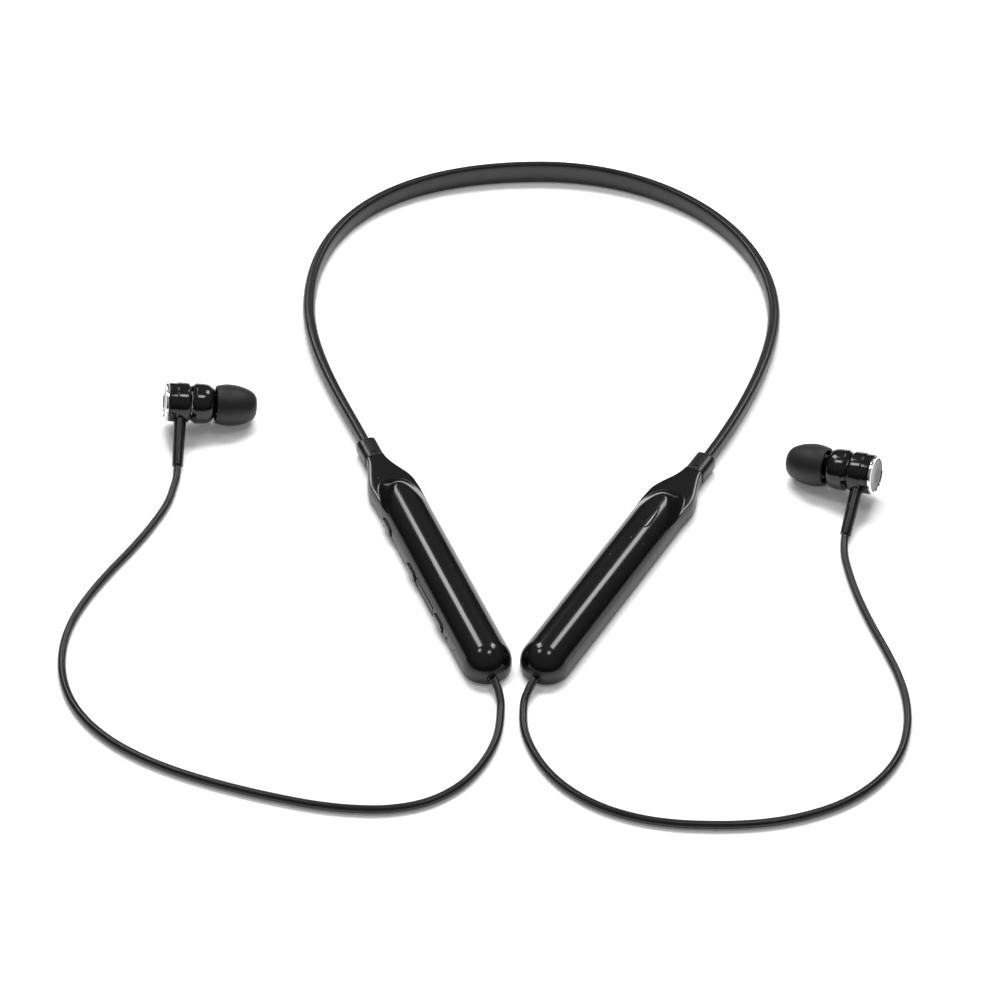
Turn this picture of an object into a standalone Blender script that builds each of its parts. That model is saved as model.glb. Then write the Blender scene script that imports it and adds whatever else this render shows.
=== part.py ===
"""Neckband earphones: a sprung silicone neckband, two pods on its ends, and two
earbuds, each on its own cord.  Everything is in metres, +Z is up, and the set
lies on the plane z = 0 with its origin under the middle of its box."""
import math

import bmesh
import bpy
import numpy as np
from mathutils import Matrix, Vector

# ---------------------------------------------------------------- fits
GAP = 0.0003              # air left between two pieces that touch
MERGE = 0.00001           # merge distance of modifiers and welds

# ---------------------------------------------------------------- arms (collar + pod), seen from above
PODS_MIDDLE = -0.00065    # halfway between the pods' round ends, across the set
PODS_APART = 0.0019       # air between the pods' round ends
ARM_TIP_BACK = {"left": -0.0905, "right": -0.0907}
ARM_HEADING = {"left": math.radians(-67.8), "right": math.radians(-120.7)}
OUTWARD = {"left": -1, "right": 1}      # sign of an arm's own Y that faces away from the wearer
ARM_LENGTH = 0.0815       # collar mouth to the centre of the pod's round end
NECK_SHIFT = 0.0008       # how far the collar sits outward of the pod's axis
NECK_SHIFT_SPAN = (0.0100, 0.0240)      # distances from the mouth over which that fades out

# ---------------------------------------------------------------- collar
COLLAR_LENGTH = 0.0070
COLLAR_WIDTH = 0.0055
COLLAR_HEIGHT = 0.0051
COLLAR_ROUNDING = 0.0005
DIMPLE_RADIUS = 0.0006
DIMPLE_DEPTH = 0.0004
DIMPLE_FROM_POD = 0.0011

# ---------------------------------------------------------------- pod shells
POD_WIDTH = 0.0126
POD_HEIGHT = 0.0084
SIDE_HEIGHT = 0.0024      # the sides stand upright to here and round over above it
PARTING_HEIGHT = 0.0046   # top rim of the lower shell
NECK_WIDTH = 0.0051
NECK_TOP = 0.0053         # height of the flat neck on the upper cover
NECK_TAPER_END = 0.0190   # distance from the mouth where the pod has its full width
DOME_START = 0.0165       # distance from the mouth where the dome rises from the flat neck
DOME_RISE = 0.0060        # length over which it rises
DOME_SWEEP = 0.0090       # how much later it starts at its sides than at its crest
SHELL_WALL = 0.0015
SHELL_FLOOR = 0.0010
SHELL_FOOT_RADIUS = 0.0012
COVER_WALL = 0.0008

# ---------------------------------------------------------------- neckband
BAND_CROWN = (0.0071, 0.0961)
BAND_LEFT_BULGE = (-0.0566, 0.0408)
BAND_RIGHT_BULGE = (0.0700, 0.0377)
BAND_CROWN_PULL = (0.0345, 0.0335)      # curve handle lengths, left and right of the crown
BAND_BULGE_PULL_UP = (0.0412, 0.0350)   # handles that leave the bulges towards the crown
BAND_BULGE_PULL_DOWN = (0.0200, 0.0180)
BAND_MOUTH_PULL = (0.0185, 0.0197)
BAND_INSERT = 0.0055      # length of band inside a collar
BAND_STEPS = 44
BAND_CROWN_SECTION = (0.0023, 0.0070)   # thickness, height
BAND_BULGE_SECTION = (0.0033, 0.0048)
BAND_MOUTH_SECTION = (0.0027, 0.0036)
BAND_AXIS_HEIGHT = 0.0026               # height of the band's middle at the collars
BAND_BORE = (0.0016, 0.0030)            # width, height of the channel through the band
WIRE_RADIUS = 0.0005
HARNESS_RADIUS = 0.00045
CORE_SPACING = 0.0015     # height between the spring wire and the cable loom
CORE_REACH = 0.0120       # how far both run into a pod, from the collar mouth
NECK_BORE_RADIUS = 0.0014

# ---------------------------------------------------------------- buttons on the left pod's outer side
BUTTON_NAMES = ("volume_up", "multifunction", "volume_down")
BUTTON_STATIONS = (0.0304, 0.0474, 0.0659)
BUTTON_LENGTH = 0.0056
BUTTON_HEIGHT = 0.0024
BUTTON_PROUD = 0.0004
BUTTON_LEVEL = 0.0026     # height of a button's middle
BUTTON_FLANGE = (0.0076, 0.0005, 0.0018)
BUTTON_TRAVEL = 0.00035
SWITCH_BODY = (0.0032, 0.0018, 0.0016)
SWITCH_PLUNGER_RADIUS = 0.0005
SWITCH_PLUNGER_SUNK = 0.0006

# ---------------------------------------------------------------- charging port
PORT_STATION = 0.0564
FLAP_LENGTH = 0.0110
FLAP_HEIGHT = 0.0024
FLAP_THICKNESS = 0.0008
FLAP_HINGE_INSET = 0.0003
SOCKET_SIZE = (0.0075, 0.0052, 0.0024)
SOCKET_WALL = 0.0003
PORT_HOLE = (0.0070, 0.0018)
MICROPHONE_STATION = 0.0714
MICROPHONE_HOLE_RADIUS = 0.00045
MICROPHONE_SIZE = (0.0030, 0.0012, 0.0018)
LIGHT_STATION = 0.0764
LIGHT_RADIUS = 0.0006

# ---------------------------------------------------------------- electronics
BOARD_THICKNESS = 0.0006
BOARD_LEVEL = 0.0016      # underside of both boards
BOARD_START = 0.0240
BOARD_END = 0.0790
BOARD_FAR_EDGE = -0.0042  # the board's inner edge, measured outward from the pod's axis
RADIO_CHIP = (0.0060, 0.0040, 0.0009)
CHARGE_CHIP = (0.0030, 0.0030, 0.0008)
ANTENNA = (0.0066, 0.0020, 0.0011)
BATTERY = (0.0360, 0.0070, 0.0040)
BATTERY_STATION = 0.0560
BATTERY_FOAM = (0.0200, 0.0050, 0.0005)
PROTECTION_BOARD = (0.0120, 0.0056, BOARD_THICKNESS)
PROTECTION_STATION = 0.0290
STATUS_LED = (0.0016, 0.0010, 0.0007)
MOTOR_RADIUS = 0.0032
MOTOR_HEIGHT = 0.0026
MOTOR_STATION = 0.0800

# ---------------------------------------------------------------- status window on the right cover
WINDOW_STATION = 0.0303
WINDOW_LENGTH = 0.0083
WINDOW_WIDTH = 0.0015
WINDOW_OFFSET = 0.0012    # outward of the dome's crest
WINDOW_THICKNESS = 0.0006

# ---------------------------------------------------------------- cords
CORD_RADIUS = 0.0010
CORD_SPACING = 0.0046     # distance between the points of a cord's tube
GLAND_LEVEL = 0.00275
GLAND_SHIFT = 0.0009      # outward of the pod's axis
GLAND_RADIUS = 0.00105
GLAND_FLANGE = (0.0014, 0.0006)   # radius, thickness
GLAND_BORE_RADIUS = 0.0006
LYING = 0.00103           # height of a cord's middle where it lies flat
CORD_ROUTES = {
    "left": [(-0.0059, -0.0971, 0.00275), (-0.0048, -0.1002, 0.0020), (-0.0043, -0.1046, 0.0011),
             (-0.0052, -0.1134, LYING), (-0.0085, -0.1216, LYING), (-0.0139, -0.1286, LYING),
             (-0.0213, -0.1334, LYING), (-0.0299, -0.1355, LYING), (-0.0388, -0.1355, LYING),
             (-0.0476, -0.1343, LYING), (-0.0562, -0.1323, LYING), (-0.0647, -0.1299, LYING),
             (-0.0731, -0.1271, LYING), (-0.0814, -0.1238, LYING), (-0.0893, -0.1198, LYING),
             (-0.0966, -0.1149, LYING), (-0.1030, -0.1087, LYING), (-0.1078, -0.1013, LYING),
             (-0.1105, -0.0929, LYING), (-0.1110, -0.0840, LYING), (-0.1094, -0.0753, LYING),
             (-0.1061, -0.0671, LYING), (-0.1019, -0.0593, LYING), (-0.0973, -0.0517, LYING),
             (-0.0931, -0.0439, LYING), (-0.0896, -0.0356, LYING), (-0.0883, -0.0290, LYING),
             (-0.0879, -0.0256, LYING), (-0.0879, -0.0225, 0.0014)],
    "right": [(0.0037, -0.0970, 0.00275), (0.0022, -0.1002, 0.0020), (0.0012, -0.1036, 0.0012),
              (0.0013, -0.1113, LYING), (0.0037, -0.1189, LYING), (0.0078, -0.1257, LYING),
              (0.0134, -0.1313, LYING), (0.0201, -0.1355, LYING), (0.0276, -0.1383, LYING),
              (0.0354, -0.1398, LYING), (0.0433, -0.1403, LYING), (0.0512, -0.1402, LYING),
              (0.0591, -0.1393, LYING), (0.0668, -0.1374, LYING), (0.0742, -0.1344, LYING),
              (0.0808, -0.1301, LYING), (0.0864, -0.1244, LYING), (0.0904, -0.1176, LYING),
              (0.0925, -0.1099, LYING), (0.0929, -0.1020, LYING), (0.0918, -0.0941, LYING),
              (0.0897, -0.0865, LYING), (0.0872, -0.0789, LYING), (0.0850, -0.0713, LYING),
              (0.0833, -0.0636, LYING), (0.0822, -0.0557, LYING), (0.0822, -0.0511, LYING),
              (0.0827, -0.0474, 0.0014)]}

# ---------------------------------------------------------------- earbuds (own Z runs from ring to ear tip)
BUD_RING_CENTRE = {"left": (-0.0920, -0.0059, 0.0090), "right": (0.0913, -0.0333, 0.0090)}
BUD_TIP_END = {"left": (-0.0686, -0.0030, 0.0045), "right": (0.0702, -0.0234, 0.0045)}
BUD_CORD_END = {"left": (-0.0879, -0.0222, 0.0015), "right": (0.0828, -0.0471, 0.0015)}
BUD_RADIUS = 0.0053
BUD_RIM_RADIUS = 0.0051   # the housing's back rim, behind the shallow groove
BUD_RIM_END = 0.0030
BUD_WALL = 0.0008
REAR_END = 0.0067
FRONT_START = 0.0070
FRONT_END = 0.0130
NOZZLE_RADIUS = 0.0022
NOZZLE_BORE = 0.0015
NOZZLE_END = 0.0195
RING_THICKNESS = 0.0007
RING_WIDTH = 0.0008
DISC_THICKNESS = 0.0006
DISC_RECESS = 0.0003
DRIVER_THICKNESS = 0.0030
MESH_THICKNESS = 0.0003
STRAIN_STATION = 0.0043
STRAIN_RADIUS = 0.00165
STRAIN_END_RADIUS = 0.0014
STRAIN_BORE_RADIUS = 0.0006
EARTIP_START = 0.0133
EARTIP_LENGTH = 0.0108
EARTIP_RADIUS = 0.0055
EARTIP_BORE_RADIUS = 0.00175
EARTIP_SKIRT_WALL = 0.0006
TURNED_STEPS = 20

COLLECTION = "neckband_earphones"


# ================================================================ scene and materials
def clear_scene():
    """Remove every object, and make one collection for parts and one for cutters."""
    for old in list(bpy.data.objects):
        bpy.data.objects.remove(old, do_unlink=True)
    made = []
    for name in (COLLECTION, "cutters"):
        collection = bpy.data.collections.new(name)
        bpy.context.scene.collection.children.link(collection)
        made.append(collection)
    return made


PARTS, CUTTERS = clear_scene()

FINISHES = {              # base colour, roughness, metallic
    "gloss_shell": ((0.006, 0.006, 0.007), 0.08, 0.0),
    "satin_shell": ((0.014, 0.014, 0.015), 0.38, 0.0),
    "band_silicone": ((0.012, 0.012, 0.013), 0.45, 0.0),
    "tip_silicone": ((0.010, 0.010, 0.011), 0.60, 0.0),
    "cord_sheath": ((0.010, 0.010, 0.011), 0.35, 0.0),
    "button_plastic": ((0.010, 0.010, 0.011), 0.25, 0.0),
    "polished_ring": ((0.80, 0.80, 0.82), 0.12, 1.0),
    "steel": ((0.55, 0.56, 0.58), 0.30, 1.0),
    "circuit_board": ((0.02, 0.10, 0.04), 0.45, 0.0),
    "chip_resin": ((0.02, 0.02, 0.022), 0.50, 0.0),
    "switch_metal": ((0.62, 0.62, 0.60), 0.35, 1.0),
    "battery_foil": ((0.45, 0.46, 0.48), 0.30, 0.6),
    "foam": ((0.05, 0.05, 0.055), 0.90, 0.0),
    "lens": ((0.04, 0.045, 0.05), 0.10, 0.0)}


def finish(name):
    """The Principled material of one finish, made once."""
    found = bpy.data.materials.get(name)
    if found:
        return found
    colour, roughness, metallic = FINISHES[name]
    material = bpy.data.materials.new(name)
    material.use_nodes = True
    shader = material.node_tree.nodes["Principled BSDF"]
    shader.inputs["Base Color"].default_value = (*colour, 1.0)
    shader.inputs["Roughness"].default_value = roughness
    shader.inputs["Metallic"].default_value = metallic
    material.diffuse_color = (*colour, 1.0)
    return material


# ================================================================ building blocks
def make_frame(name, matrix):
    """An empty that holds pieces built in its own coordinates."""
    frame = bpy.data.objects.new(name, None)
    PARTS.objects.link(frame)
    frame.matrix_world = matrix
    return frame


def add_piece(name, mesh, material, frame=None, place=Matrix(), cutter=False):
    """Put a mesh into the scene as one named piece, or as a hidden cutter."""
    piece = bpy.data.objects.new(name, mesh)
    (CUTTERS if cutter else PARTS).objects.link(piece)
    if frame:
        piece.parent = frame
    piece.matrix_basis = place
    if cutter:
        piece.hide_render = True
        piece.display_type = "WIRE"
    else:
        mesh.materials.append(finish(material))
        mesh.shade_smooth()
        mesh.set_sharp_from_angle(angle=math.radians(35))
    return piece


def finished_mesh(name, bm):
    """Close off a bmesh: weld, face outwards, and return it as a mesh."""
    bmesh.ops.remove_doubles(bm, verts=bm.verts, dist=MERGE)
    bmesh.ops.dissolve_degenerate(bm, dist=MERGE / 10, edges=bm.edges)
    bmesh.ops.recalc_face_normals(bm, faces=bm.faces)
    mesh = bpy.data.meshes.new(name)
    bm.to_mesh(mesh)
    bm.free()
    return mesh


def skin(name, rings, closed_rings=True, caps=True):
    """Loft through rings of equal point counts; caps close the first and last ring."""
    bm = bmesh.new()
    verts = [[bm.verts.new(point) for point in ring] for ring in rings]
    for ring_a, ring_b in zip(verts, verts[1:]):
        count = len(ring_a)
        for i in range(count if closed_rings else count - 1):
            j = (i + 1) % count
            bm.faces.new((ring_a[i], ring_a[j], ring_b[j], ring_b[i]))
    if caps:
        bm.faces.new(verts[0])
        bm.faces.new(verts[-1])
    return finished_mesh(name, bm)


def box_mesh(name, size, bevel=0.0):
    """A box centred on its own origin, with its edges bevelled where asked."""
    bm = bmesh.new()
    bmesh.ops.create_cube(bm, size=1.0)
    bmesh.ops.scale(bm, vec=size, verts=bm.verts)
    if bevel:
        bmesh.ops.bevel(bm, geom=bm.edges, offset=bevel, segments=1, affect="EDGES")
    return finished_mesh(name, bm)


def rod_mesh(name, radius, length, sides=16, end_radius=None):
    """A rod or cone along Z, centred on its own origin."""
    bm = bmesh.new()
    bmesh.ops.create_cone(bm, cap_ends=True, segments=sides, radius1=radius,
                          radius2=radius if end_radius is None else end_radius, depth=length)
    return finished_mesh(name, bm)


def obround_mesh(name, length, height, depth, steps=6):
    """A slot-shaped block: long in X, tall in Z, deep in Y, centred on its origin."""
    radius = height / 2
    straight = length / 2 - radius
    angles = np.linspace(-math.pi / 2, math.pi / 2, steps + 1)
    end = [(straight + radius * math.cos(a), radius * math.sin(a)) for a in angles]
    outline = end + [(-x, -z) for x, z in end]
    return skin(name, [[(x, y, z) for x, z in outline] for y in (-depth / 2, depth / 2)])


def leaf_mesh(name, length, width, depth, steps=8):
    """A slender leaf in the XY plane, rounded at one end and pointed at the other."""
    along = np.linspace(0.0, 1.0, steps + 1)
    bulge = np.sqrt(along) * (1 - along) / 0.385
    upper = [((s - 0.5) * length, width / 2 * b) for s, b in zip(along, bulge)]
    lower = [(x, -y) for x, y in reversed(upper[1:-1])]
    return skin(name, [[(x, y, z) for x, y in upper + lower] for z in (-depth / 2, depth / 2)])


def turned(name, profile, material, frame, place=Matrix(), steps=TURNED_STEPS, closed=False):
    """Revolve a profile of (radius, height) points about Z with a Screw modifier.
    An open profile runs from the axis round its outer side, top to bottom."""
    bm = bmesh.new()
    verts = [bm.verts.new((radius, 0.0, height)) for radius, height in profile]
    for a, b in zip(verts, verts[1:]):
        bm.edges.new((a, b))
    if closed:
        bm.edges.new((verts[-1], verts[0]))
    mesh = bpy.data.meshes.new(name)
    bm.to_mesh(mesh)
    bm.free()
    piece = add_piece(name, mesh, material, frame, place)
    screw = piece.modifiers.new("turn", "SCREW")
    screw.steps = steps
    screw.render_steps = steps
    screw.use_merge_vertices = True
    screw.merge_threshold = MERGE
    screw.use_smooth_shade = True
    return piece


def cut(piece, cutter):
    """Take a cutter out of a piece."""
    boolean = piece.modifiers.new("cut_" + cutter.name, "BOOLEAN")
    boolean.operation = "DIFFERENCE"
    boolean.object = cutter
    boolean.solver = "EXACT"


def ease(value):
    """A smooth step from 0 to 1."""
    t = np.clip(value, 0.0, 1.0)
    return t * t * (3 - 2 * t)


def smooth_route(points, spacing):
    """Points at an even spacing along the smooth curve through the given points."""
    points = np.array(points)
    ends = np.vstack([2 * points[0] - points[1], points, 2 * points[-1] - points[-2]])
    fine = []
    for before, start, end, after in zip(ends, ends[1:], ends[2:], ends[3:]):
        t = np.linspace(0, 1, 12, endpoint=False)[:, None]
        fine.append(0.5 * (2 * start + (end - before) * t
                           + (2 * before - 5 * start + 4 * end - after) * t ** 2
                           + (3 * start - before - 3 * end + after) * t ** 3))
    fine = np.vstack(fine + [points[-1:]])
    travelled = np.concatenate([[0], np.cumsum(np.linalg.norm(np.diff(fine, axis=0), axis=1))])
    count = int(round(travelled[-1] / spacing)) + 1
    stops = np.linspace(0, travelled[-1], count)
    return np.column_stack([np.interp(stops, travelled, fine[:, k]) for k in range(3)])


def tube(name, route, radius, material):
    """A round tube along a route, with filled ends."""
    curve = bpy.data.curves.new(name, "CURVE")
    curve.dimensions = "3D"
    curve.bevel_depth = radius
    curve.bevel_resolution = 2
    curve.use_fill_caps = True
    spline = curve.splines.new("POLY")
    spline.points.add(len(route) - 1)
    for point, place in zip(spline.points, route):
        point.co = (*place, 1.0)
    curve.materials.append(finish(material))
    piece = bpy.data.objects.new(name, curve)
    PARTS.objects.link(piece)
    return piece


# ================================================================ arms
def arm_matrix(side):
    """An arm's frame: origin at the collar mouth, X towards the pod's tip."""
    heading = ARM_HEADING[side]
    x = PODS_MIDDLE + OUTWARD[side] * (POD_WIDTH + PODS_APART) / 2
    y = ARM_TIP_BACK[side]
    mouth = Vector((x - ARM_LENGTH * math.cos(heading), y - ARM_LENGTH * math.sin(heading), 0.0))
    return Matrix.Translation(mouth) @ Matrix.Rotation(heading, 4, "Z")


def neck_shift(station):
    """How far the arm's middle lies outward of the pod's axis at a station."""
    start, end = NECK_SHIFT_SPAN
    return NECK_SHIFT * (1 - ease((station - start) / (end - start)))


def half_width(station):
    """Half the lower shell's width at a station, before the round end."""
    taper = ease((station - COLLAR_LENGTH) / (NECK_TAPER_END - COLLAR_LENGTH))
    return NECK_WIDTH / 2 + (POD_WIDTH - NECK_WIDTH) / 2 * taper


def superellipse(half_y, half_z, power, count):
    """Points round a rounded rectangle that nears a true rectangle as power grows."""
    angles = np.linspace(0, 2 * math.pi, count, endpoint=False)
    c, s = np.cos(angles), np.sin(angles)
    return np.column_stack([half_y * np.sign(c) * np.abs(c) ** (2 / power),
                            half_z * np.sign(s) * np.abs(s) ** (2 / power)])


def make_collar(side, frame):
    """The moulded collar on the band's end: a short tube with rounded ends."""
    out = OUTWARD[side]
    middle = COLLAR_HEIGHT / 2
    bore_y = BAND_MOUTH_SECTION[0] / 2 + GAP
    bore_z = BAND_MOUTH_SECTION[1] / 2 + GAP
    outer = [(0.0, COLLAR_ROUNDING), (COLLAR_ROUNDING, 0.0),
             (COLLAR_LENGTH - COLLAR_ROUNDING / 2, 0.0), (COLLAR_LENGTH, COLLAR_ROUNDING / 2)]
    rings = []
    for station, inset in outer:
        ring = superellipse(COLLAR_WIDTH / 2 - inset, middle - inset, 3.2, 20)
        rings.append([(station, out * (NECK_SHIFT + y), middle + z) for y, z in ring])
    for station in (COLLAR_LENGTH, 0.0):
        ring = superellipse(bore_y, bore_z, 2.6, 20)
        rings.append([(station, out * (NECK_SHIFT + y), BAND_AXIS_HEIGHT + z) for y, z in ring])
    collar = add_piece(side + "_collar", skin(side + "_collar", rings + rings[:1], caps=False),
                       "satin_shell", frame)
    dimple = add_piece(side + "_dimple_cutter",
                       rod_mesh(side + "_dimple", DIMPLE_RADIUS, 2 * DIMPLE_DEPTH, 10), None, frame,
                       Matrix.Translation((COLLAR_LENGTH - DIMPLE_FROM_POD, out * NECK_SHIFT,
                                           COLLAR_HEIGHT)), cutter=True)
    cut(collar, dimple)
    return collar


def section_share(height):
    """Share of its full width that a pod keeps at a height: an ellipse above its upright sides."""
    rise = max(0.0, height - SIDE_HEIGHT) / (POD_HEIGHT - SIDE_HEIGHT)
    return math.sqrt(1 - rise * rise)


def shell_ring(share, inset, height, end_inset, out):
    """The lower shell's outline at one height, narrowed to a share and moved in by an inset."""
    start = COLLAR_LENGTH + GAP + end_inset
    stations = np.concatenate([np.linspace(start, NECK_SHIFT_SPAN[1], 10),
                               np.linspace(NECK_SHIFT_SPAN[1], ARM_LENGTH, 4)[1:]])
    side_a = [(u, neck_shift(u) + half_width(u) * share - inset) for u in stations]
    side_b = [(u, neck_shift(u) - half_width(u) * share + inset) for u in reversed(stations)]
    radius = POD_WIDTH / 2 * share - inset
    arc = [(ARM_LENGTH + radius * math.cos(a), radius * math.sin(a))
           for a in np.linspace(math.pi / 2, -math.pi / 2, 13)[1:-1]]
    return [(u, out * v, height) for u, v in side_a + arc + side_b]


def make_lower_shell(side, frame):
    """The pod's lower shell: a tray with a rounded foot, whose sides start to round over."""
    out = OUTWARD[side]
    rings = []
    for turn in np.linspace(0, math.pi / 2, 4):
        rings.append(shell_ring(1.0, SHELL_FOOT_RADIUS * (1 - math.sin(turn)),
                                SHELL_FOOT_RADIUS * (1 - math.cos(turn)), 0.0, out))
    for height in np.linspace(SIDE_HEIGHT, PARTING_HEIGHT, 4):
        rings.append(shell_ring(section_share(height), 0.0, height, 0.0, out))
    rings.append(shell_ring(1.0, SHELL_WALL, PARTING_HEIGHT, SHELL_WALL, out))
    rings.append(shell_ring(1.0, SHELL_WALL, SHELL_FLOOR, SHELL_WALL, out))
    shell = add_piece(side + "_lower_shell", skin(side + "_lower_shell", rings), "satin_shell", frame)
    across = Matrix.Rotation(math.pi / 2, 4, "Y")
    neck_bore = add_piece(side + "_neck_bore_cutter",
                          rod_mesh(side + "_neck_bore", NECK_BORE_RADIUS, 4 * SHELL_WALL, 12), None,
                          frame, Matrix.Translation((COLLAR_LENGTH, out * neck_shift(COLLAR_LENGTH),
                                                     BAND_AXIS_HEIGHT)) @ across, cutter=True)
    cut(shell, neck_bore)
    gland_hole = add_piece(side + "_gland_cutter",
                           rod_mesh(side + "_gland_hole", GLAND_RADIUS + GAP, 4 * SHELL_WALL, 16),
                           None, frame,
                           Matrix.Translation((ARM_LENGTH + POD_WIDTH / 2, out * GLAND_SHIFT,
                                               GLAND_LEVEL)) @ across, cutter=True)
    cut(shell, gland_hole)
    return shell


def cover_arch(station, fold, inset, out):
    """One arch of the upper cover, set in by a wall thickness. Its two halves lie square across
    the pod at a fold of 90 degrees, and swing round the nose to meet at 0."""
    foot = PARTING_HEIGHT + GAP
    top = POD_HEIGHT - inset
    low = math.asin((foot - SIDE_HEIGHT) / (top - SIDE_HEIGHT))
    half = half_width(station) - inset
    neck_rise = NECK_TOP - foot - min(inset, 0.75 * (NECK_TOP - foot))
    arch = []
    for share in np.linspace(0, 1, 13):
        c, s = math.cos(math.pi * share), math.sin(math.pi * share)
        turn = low + (math.pi - 2 * low) * share
        risen = ease((station - DOME_START - DOME_SWEEP * c * c) / DOME_RISE)
        neck_y = half * math.cos(low) * math.copysign(math.sqrt(abs(c)), c)
        y = neck_y + risen * (half * math.cos(turn) - neck_y)
        neck_z = foot + neck_rise * math.sqrt(abs(s))
        z = neck_z + risen * (SIDE_HEIGHT + (top - SIDE_HEIGHT) * math.sin(turn) - neck_z)
        arch.append((station + abs(y) * math.cos(fold),
                     out * (neck_shift(station) + y * math.sin(fold)), z))
    return arch


def make_upper_cover(side, frame):
    """The pod's upper cover: a thin dome that runs out into a flat neck."""
    out = OUTWARD[side]
    start = COLLAR_LENGTH + GAP
    dome_end = DOME_START + DOME_RISE + DOME_SWEEP
    body = np.concatenate([np.linspace(start, DOME_START, 4),
                           np.linspace(DOME_START, dome_end, 12)[1:],
                           np.linspace(dome_end, ARM_LENGTH, 4)[1:]])

    def arches(inset):
        straight = [cover_arch(u, math.pi / 2, inset, out) for u in body]
        nose = [cover_arch(ARM_LENGTH, a, inset, out) for a in np.linspace(math.pi / 2, 0, 7)[1:]]
        return straight + nose

    outer, inner = arches(0.0), arches(COVER_WALL)
    bm = bmesh.new()
    grids = [[[bm.verts.new(p) for p in arch] for arch in grid] for grid in (outer, inner)]
    for grid in grids:
        for a, b in zip(grid, grid[1:]):
            for i in range(len(a) - 1):
                bm.faces.new((a[i], a[i + 1], b[i + 1], b[i]))
    for (a, b), (c, d) in zip(zip(grids[0], grids[0][1:]), zip(grids[1], grids[1][1:])):
        for edge in (0, -1):
            bm.faces.new((a[edge], b[edge], d[edge], c[edge]))
    mouth_outer, mouth_inner = grids[0][0], grids[1][0]
    for i in range(len(mouth_outer) - 1):
        bm.faces.new((mouth_outer[i], mouth_outer[i + 1], mouth_inner[i + 1], mouth_inner[i]))
    mesh = finished_mesh(side + "_upper_cover", bm)
    return add_piece(side + "_upper_cover", mesh, "gloss_shell", frame)


def make_gland(side, frame):
    """The bush that the cord leaves the pod through, flanged inside the wall."""
    out = OUTWARD[side]
    flange_radius, flange_thickness = GLAND_FLANGE
    outer_face = ARM_LENGTH + POD_WIDTH / 2
    cavity_radius = POD_WIDTH / 2 - SHELL_WALL
    cavity_reach = math.sqrt(cavity_radius ** 2 - (GLAND_SHIFT + flange_radius) ** 2)
    inner_face = ARM_LENGTH + cavity_reach - GAP - flange_thickness
    length = outer_face - inner_face
    profile = [(GLAND_BORE_RADIUS, length), (GLAND_RADIUS, length), (GLAND_RADIUS, flange_thickness),
               (flange_radius, flange_thickness), (flange_radius, 0.0), (GLAND_BORE_RADIUS, 0.0)]
    place = Matrix.Translation((inner_face, out * GLAND_SHIFT, GLAND_LEVEL)) @ Matrix.Rotation(
        math.pi / 2, 4, "Y")
    return turned(side + "_cord_gland", profile, "cord_sheath", frame, place, steps=16, closed=True)


# ================================================================ neckband
def bezier(start, pull_start, pull_end, end, count):
    """Points on one cubic curve, without its last point."""
    t = np.linspace(0, 1, count, endpoint=False)[:, None]
    start, pull_start, pull_end, end = map(np.array, (start, pull_start, pull_end, end))
    return ((1 - t) ** 3 * start + 3 * (1 - t) ** 2 * t * pull_start
            + 3 * (1 - t) * t * t * pull_end + t ** 3 * end)


def band_route():
    """The band's middle line seen from above, from inside the left collar to the right one,
    with the share of crown, bulge and mouth section at each point."""
    ends = {}
    for side in ("left", "right"):
        matrix = arm_matrix(side)
        place = matrix @ Vector((0, OUTWARD[side] * NECK_SHIFT, 0))
        along = matrix.to_3x3() @ Vector((1, 0, 0))
        ends[side] = (np.array(place[:2]), np.array(along[:2]))
    (left, left_along), (right, right_along) = ends["left"], ends["right"]
    up, across = np.array((0.0, 1.0)), np.array((1.0, 0.0))
    crown, left_bulge, right_bulge = map(np.array, (BAND_CROWN, BAND_LEFT_BULGE, BAND_RIGHT_BULGE))
    quarter = BAND_STEPS // 4
    pieces = [
        bezier(left, left - left_along * BAND_MOUTH_PULL[0],
               left_bulge - up * BAND_BULGE_PULL_DOWN[0], left_bulge, quarter),
        bezier(left_bulge, left_bulge + up * BAND_BULGE_PULL_UP[0],
               crown - across * BAND_CROWN_PULL[0], crown, quarter),
        bezier(crown, crown + across * BAND_CROWN_PULL[1],
               right_bulge + up * BAND_BULGE_PULL_UP[1], right_bulge, quarter),
        bezier(right_bulge, right_bulge - up * BAND_BULGE_PULL_DOWN[1],
               right - right_along * BAND_MOUTH_PULL[1], right, quarter), right[None]]
    line = np.vstack([left[None] + left_along * BAND_INSERT] + pieces
                     + [right[None] + right_along * BAND_INSERT])
    position = np.concatenate([[0], np.linspace(0, 4, 4 * quarter + 1), [4]])
    return line, position, (left, left_along), (right, right_along)


def band_section(position):
    """Thickness, height and middle height of the band; position 0 and 4 are the collars."""
    to_crown = ease(1 - abs(position - 2))
    to_bulge = ease(1 - abs(abs(position - 2) - 1))
    to_mouth = max(0.0, 1 - to_crown - to_bulge)
    thickness, height = (to_crown * np.array(BAND_CROWN_SECTION) + to_bulge * np.array(BAND_BULGE_SECTION)
                         + to_mouth * np.array(BAND_MOUTH_SECTION))
    middle = max(BAND_AXIS_HEIGHT, height / 2)
    return thickness, height, middle


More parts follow.
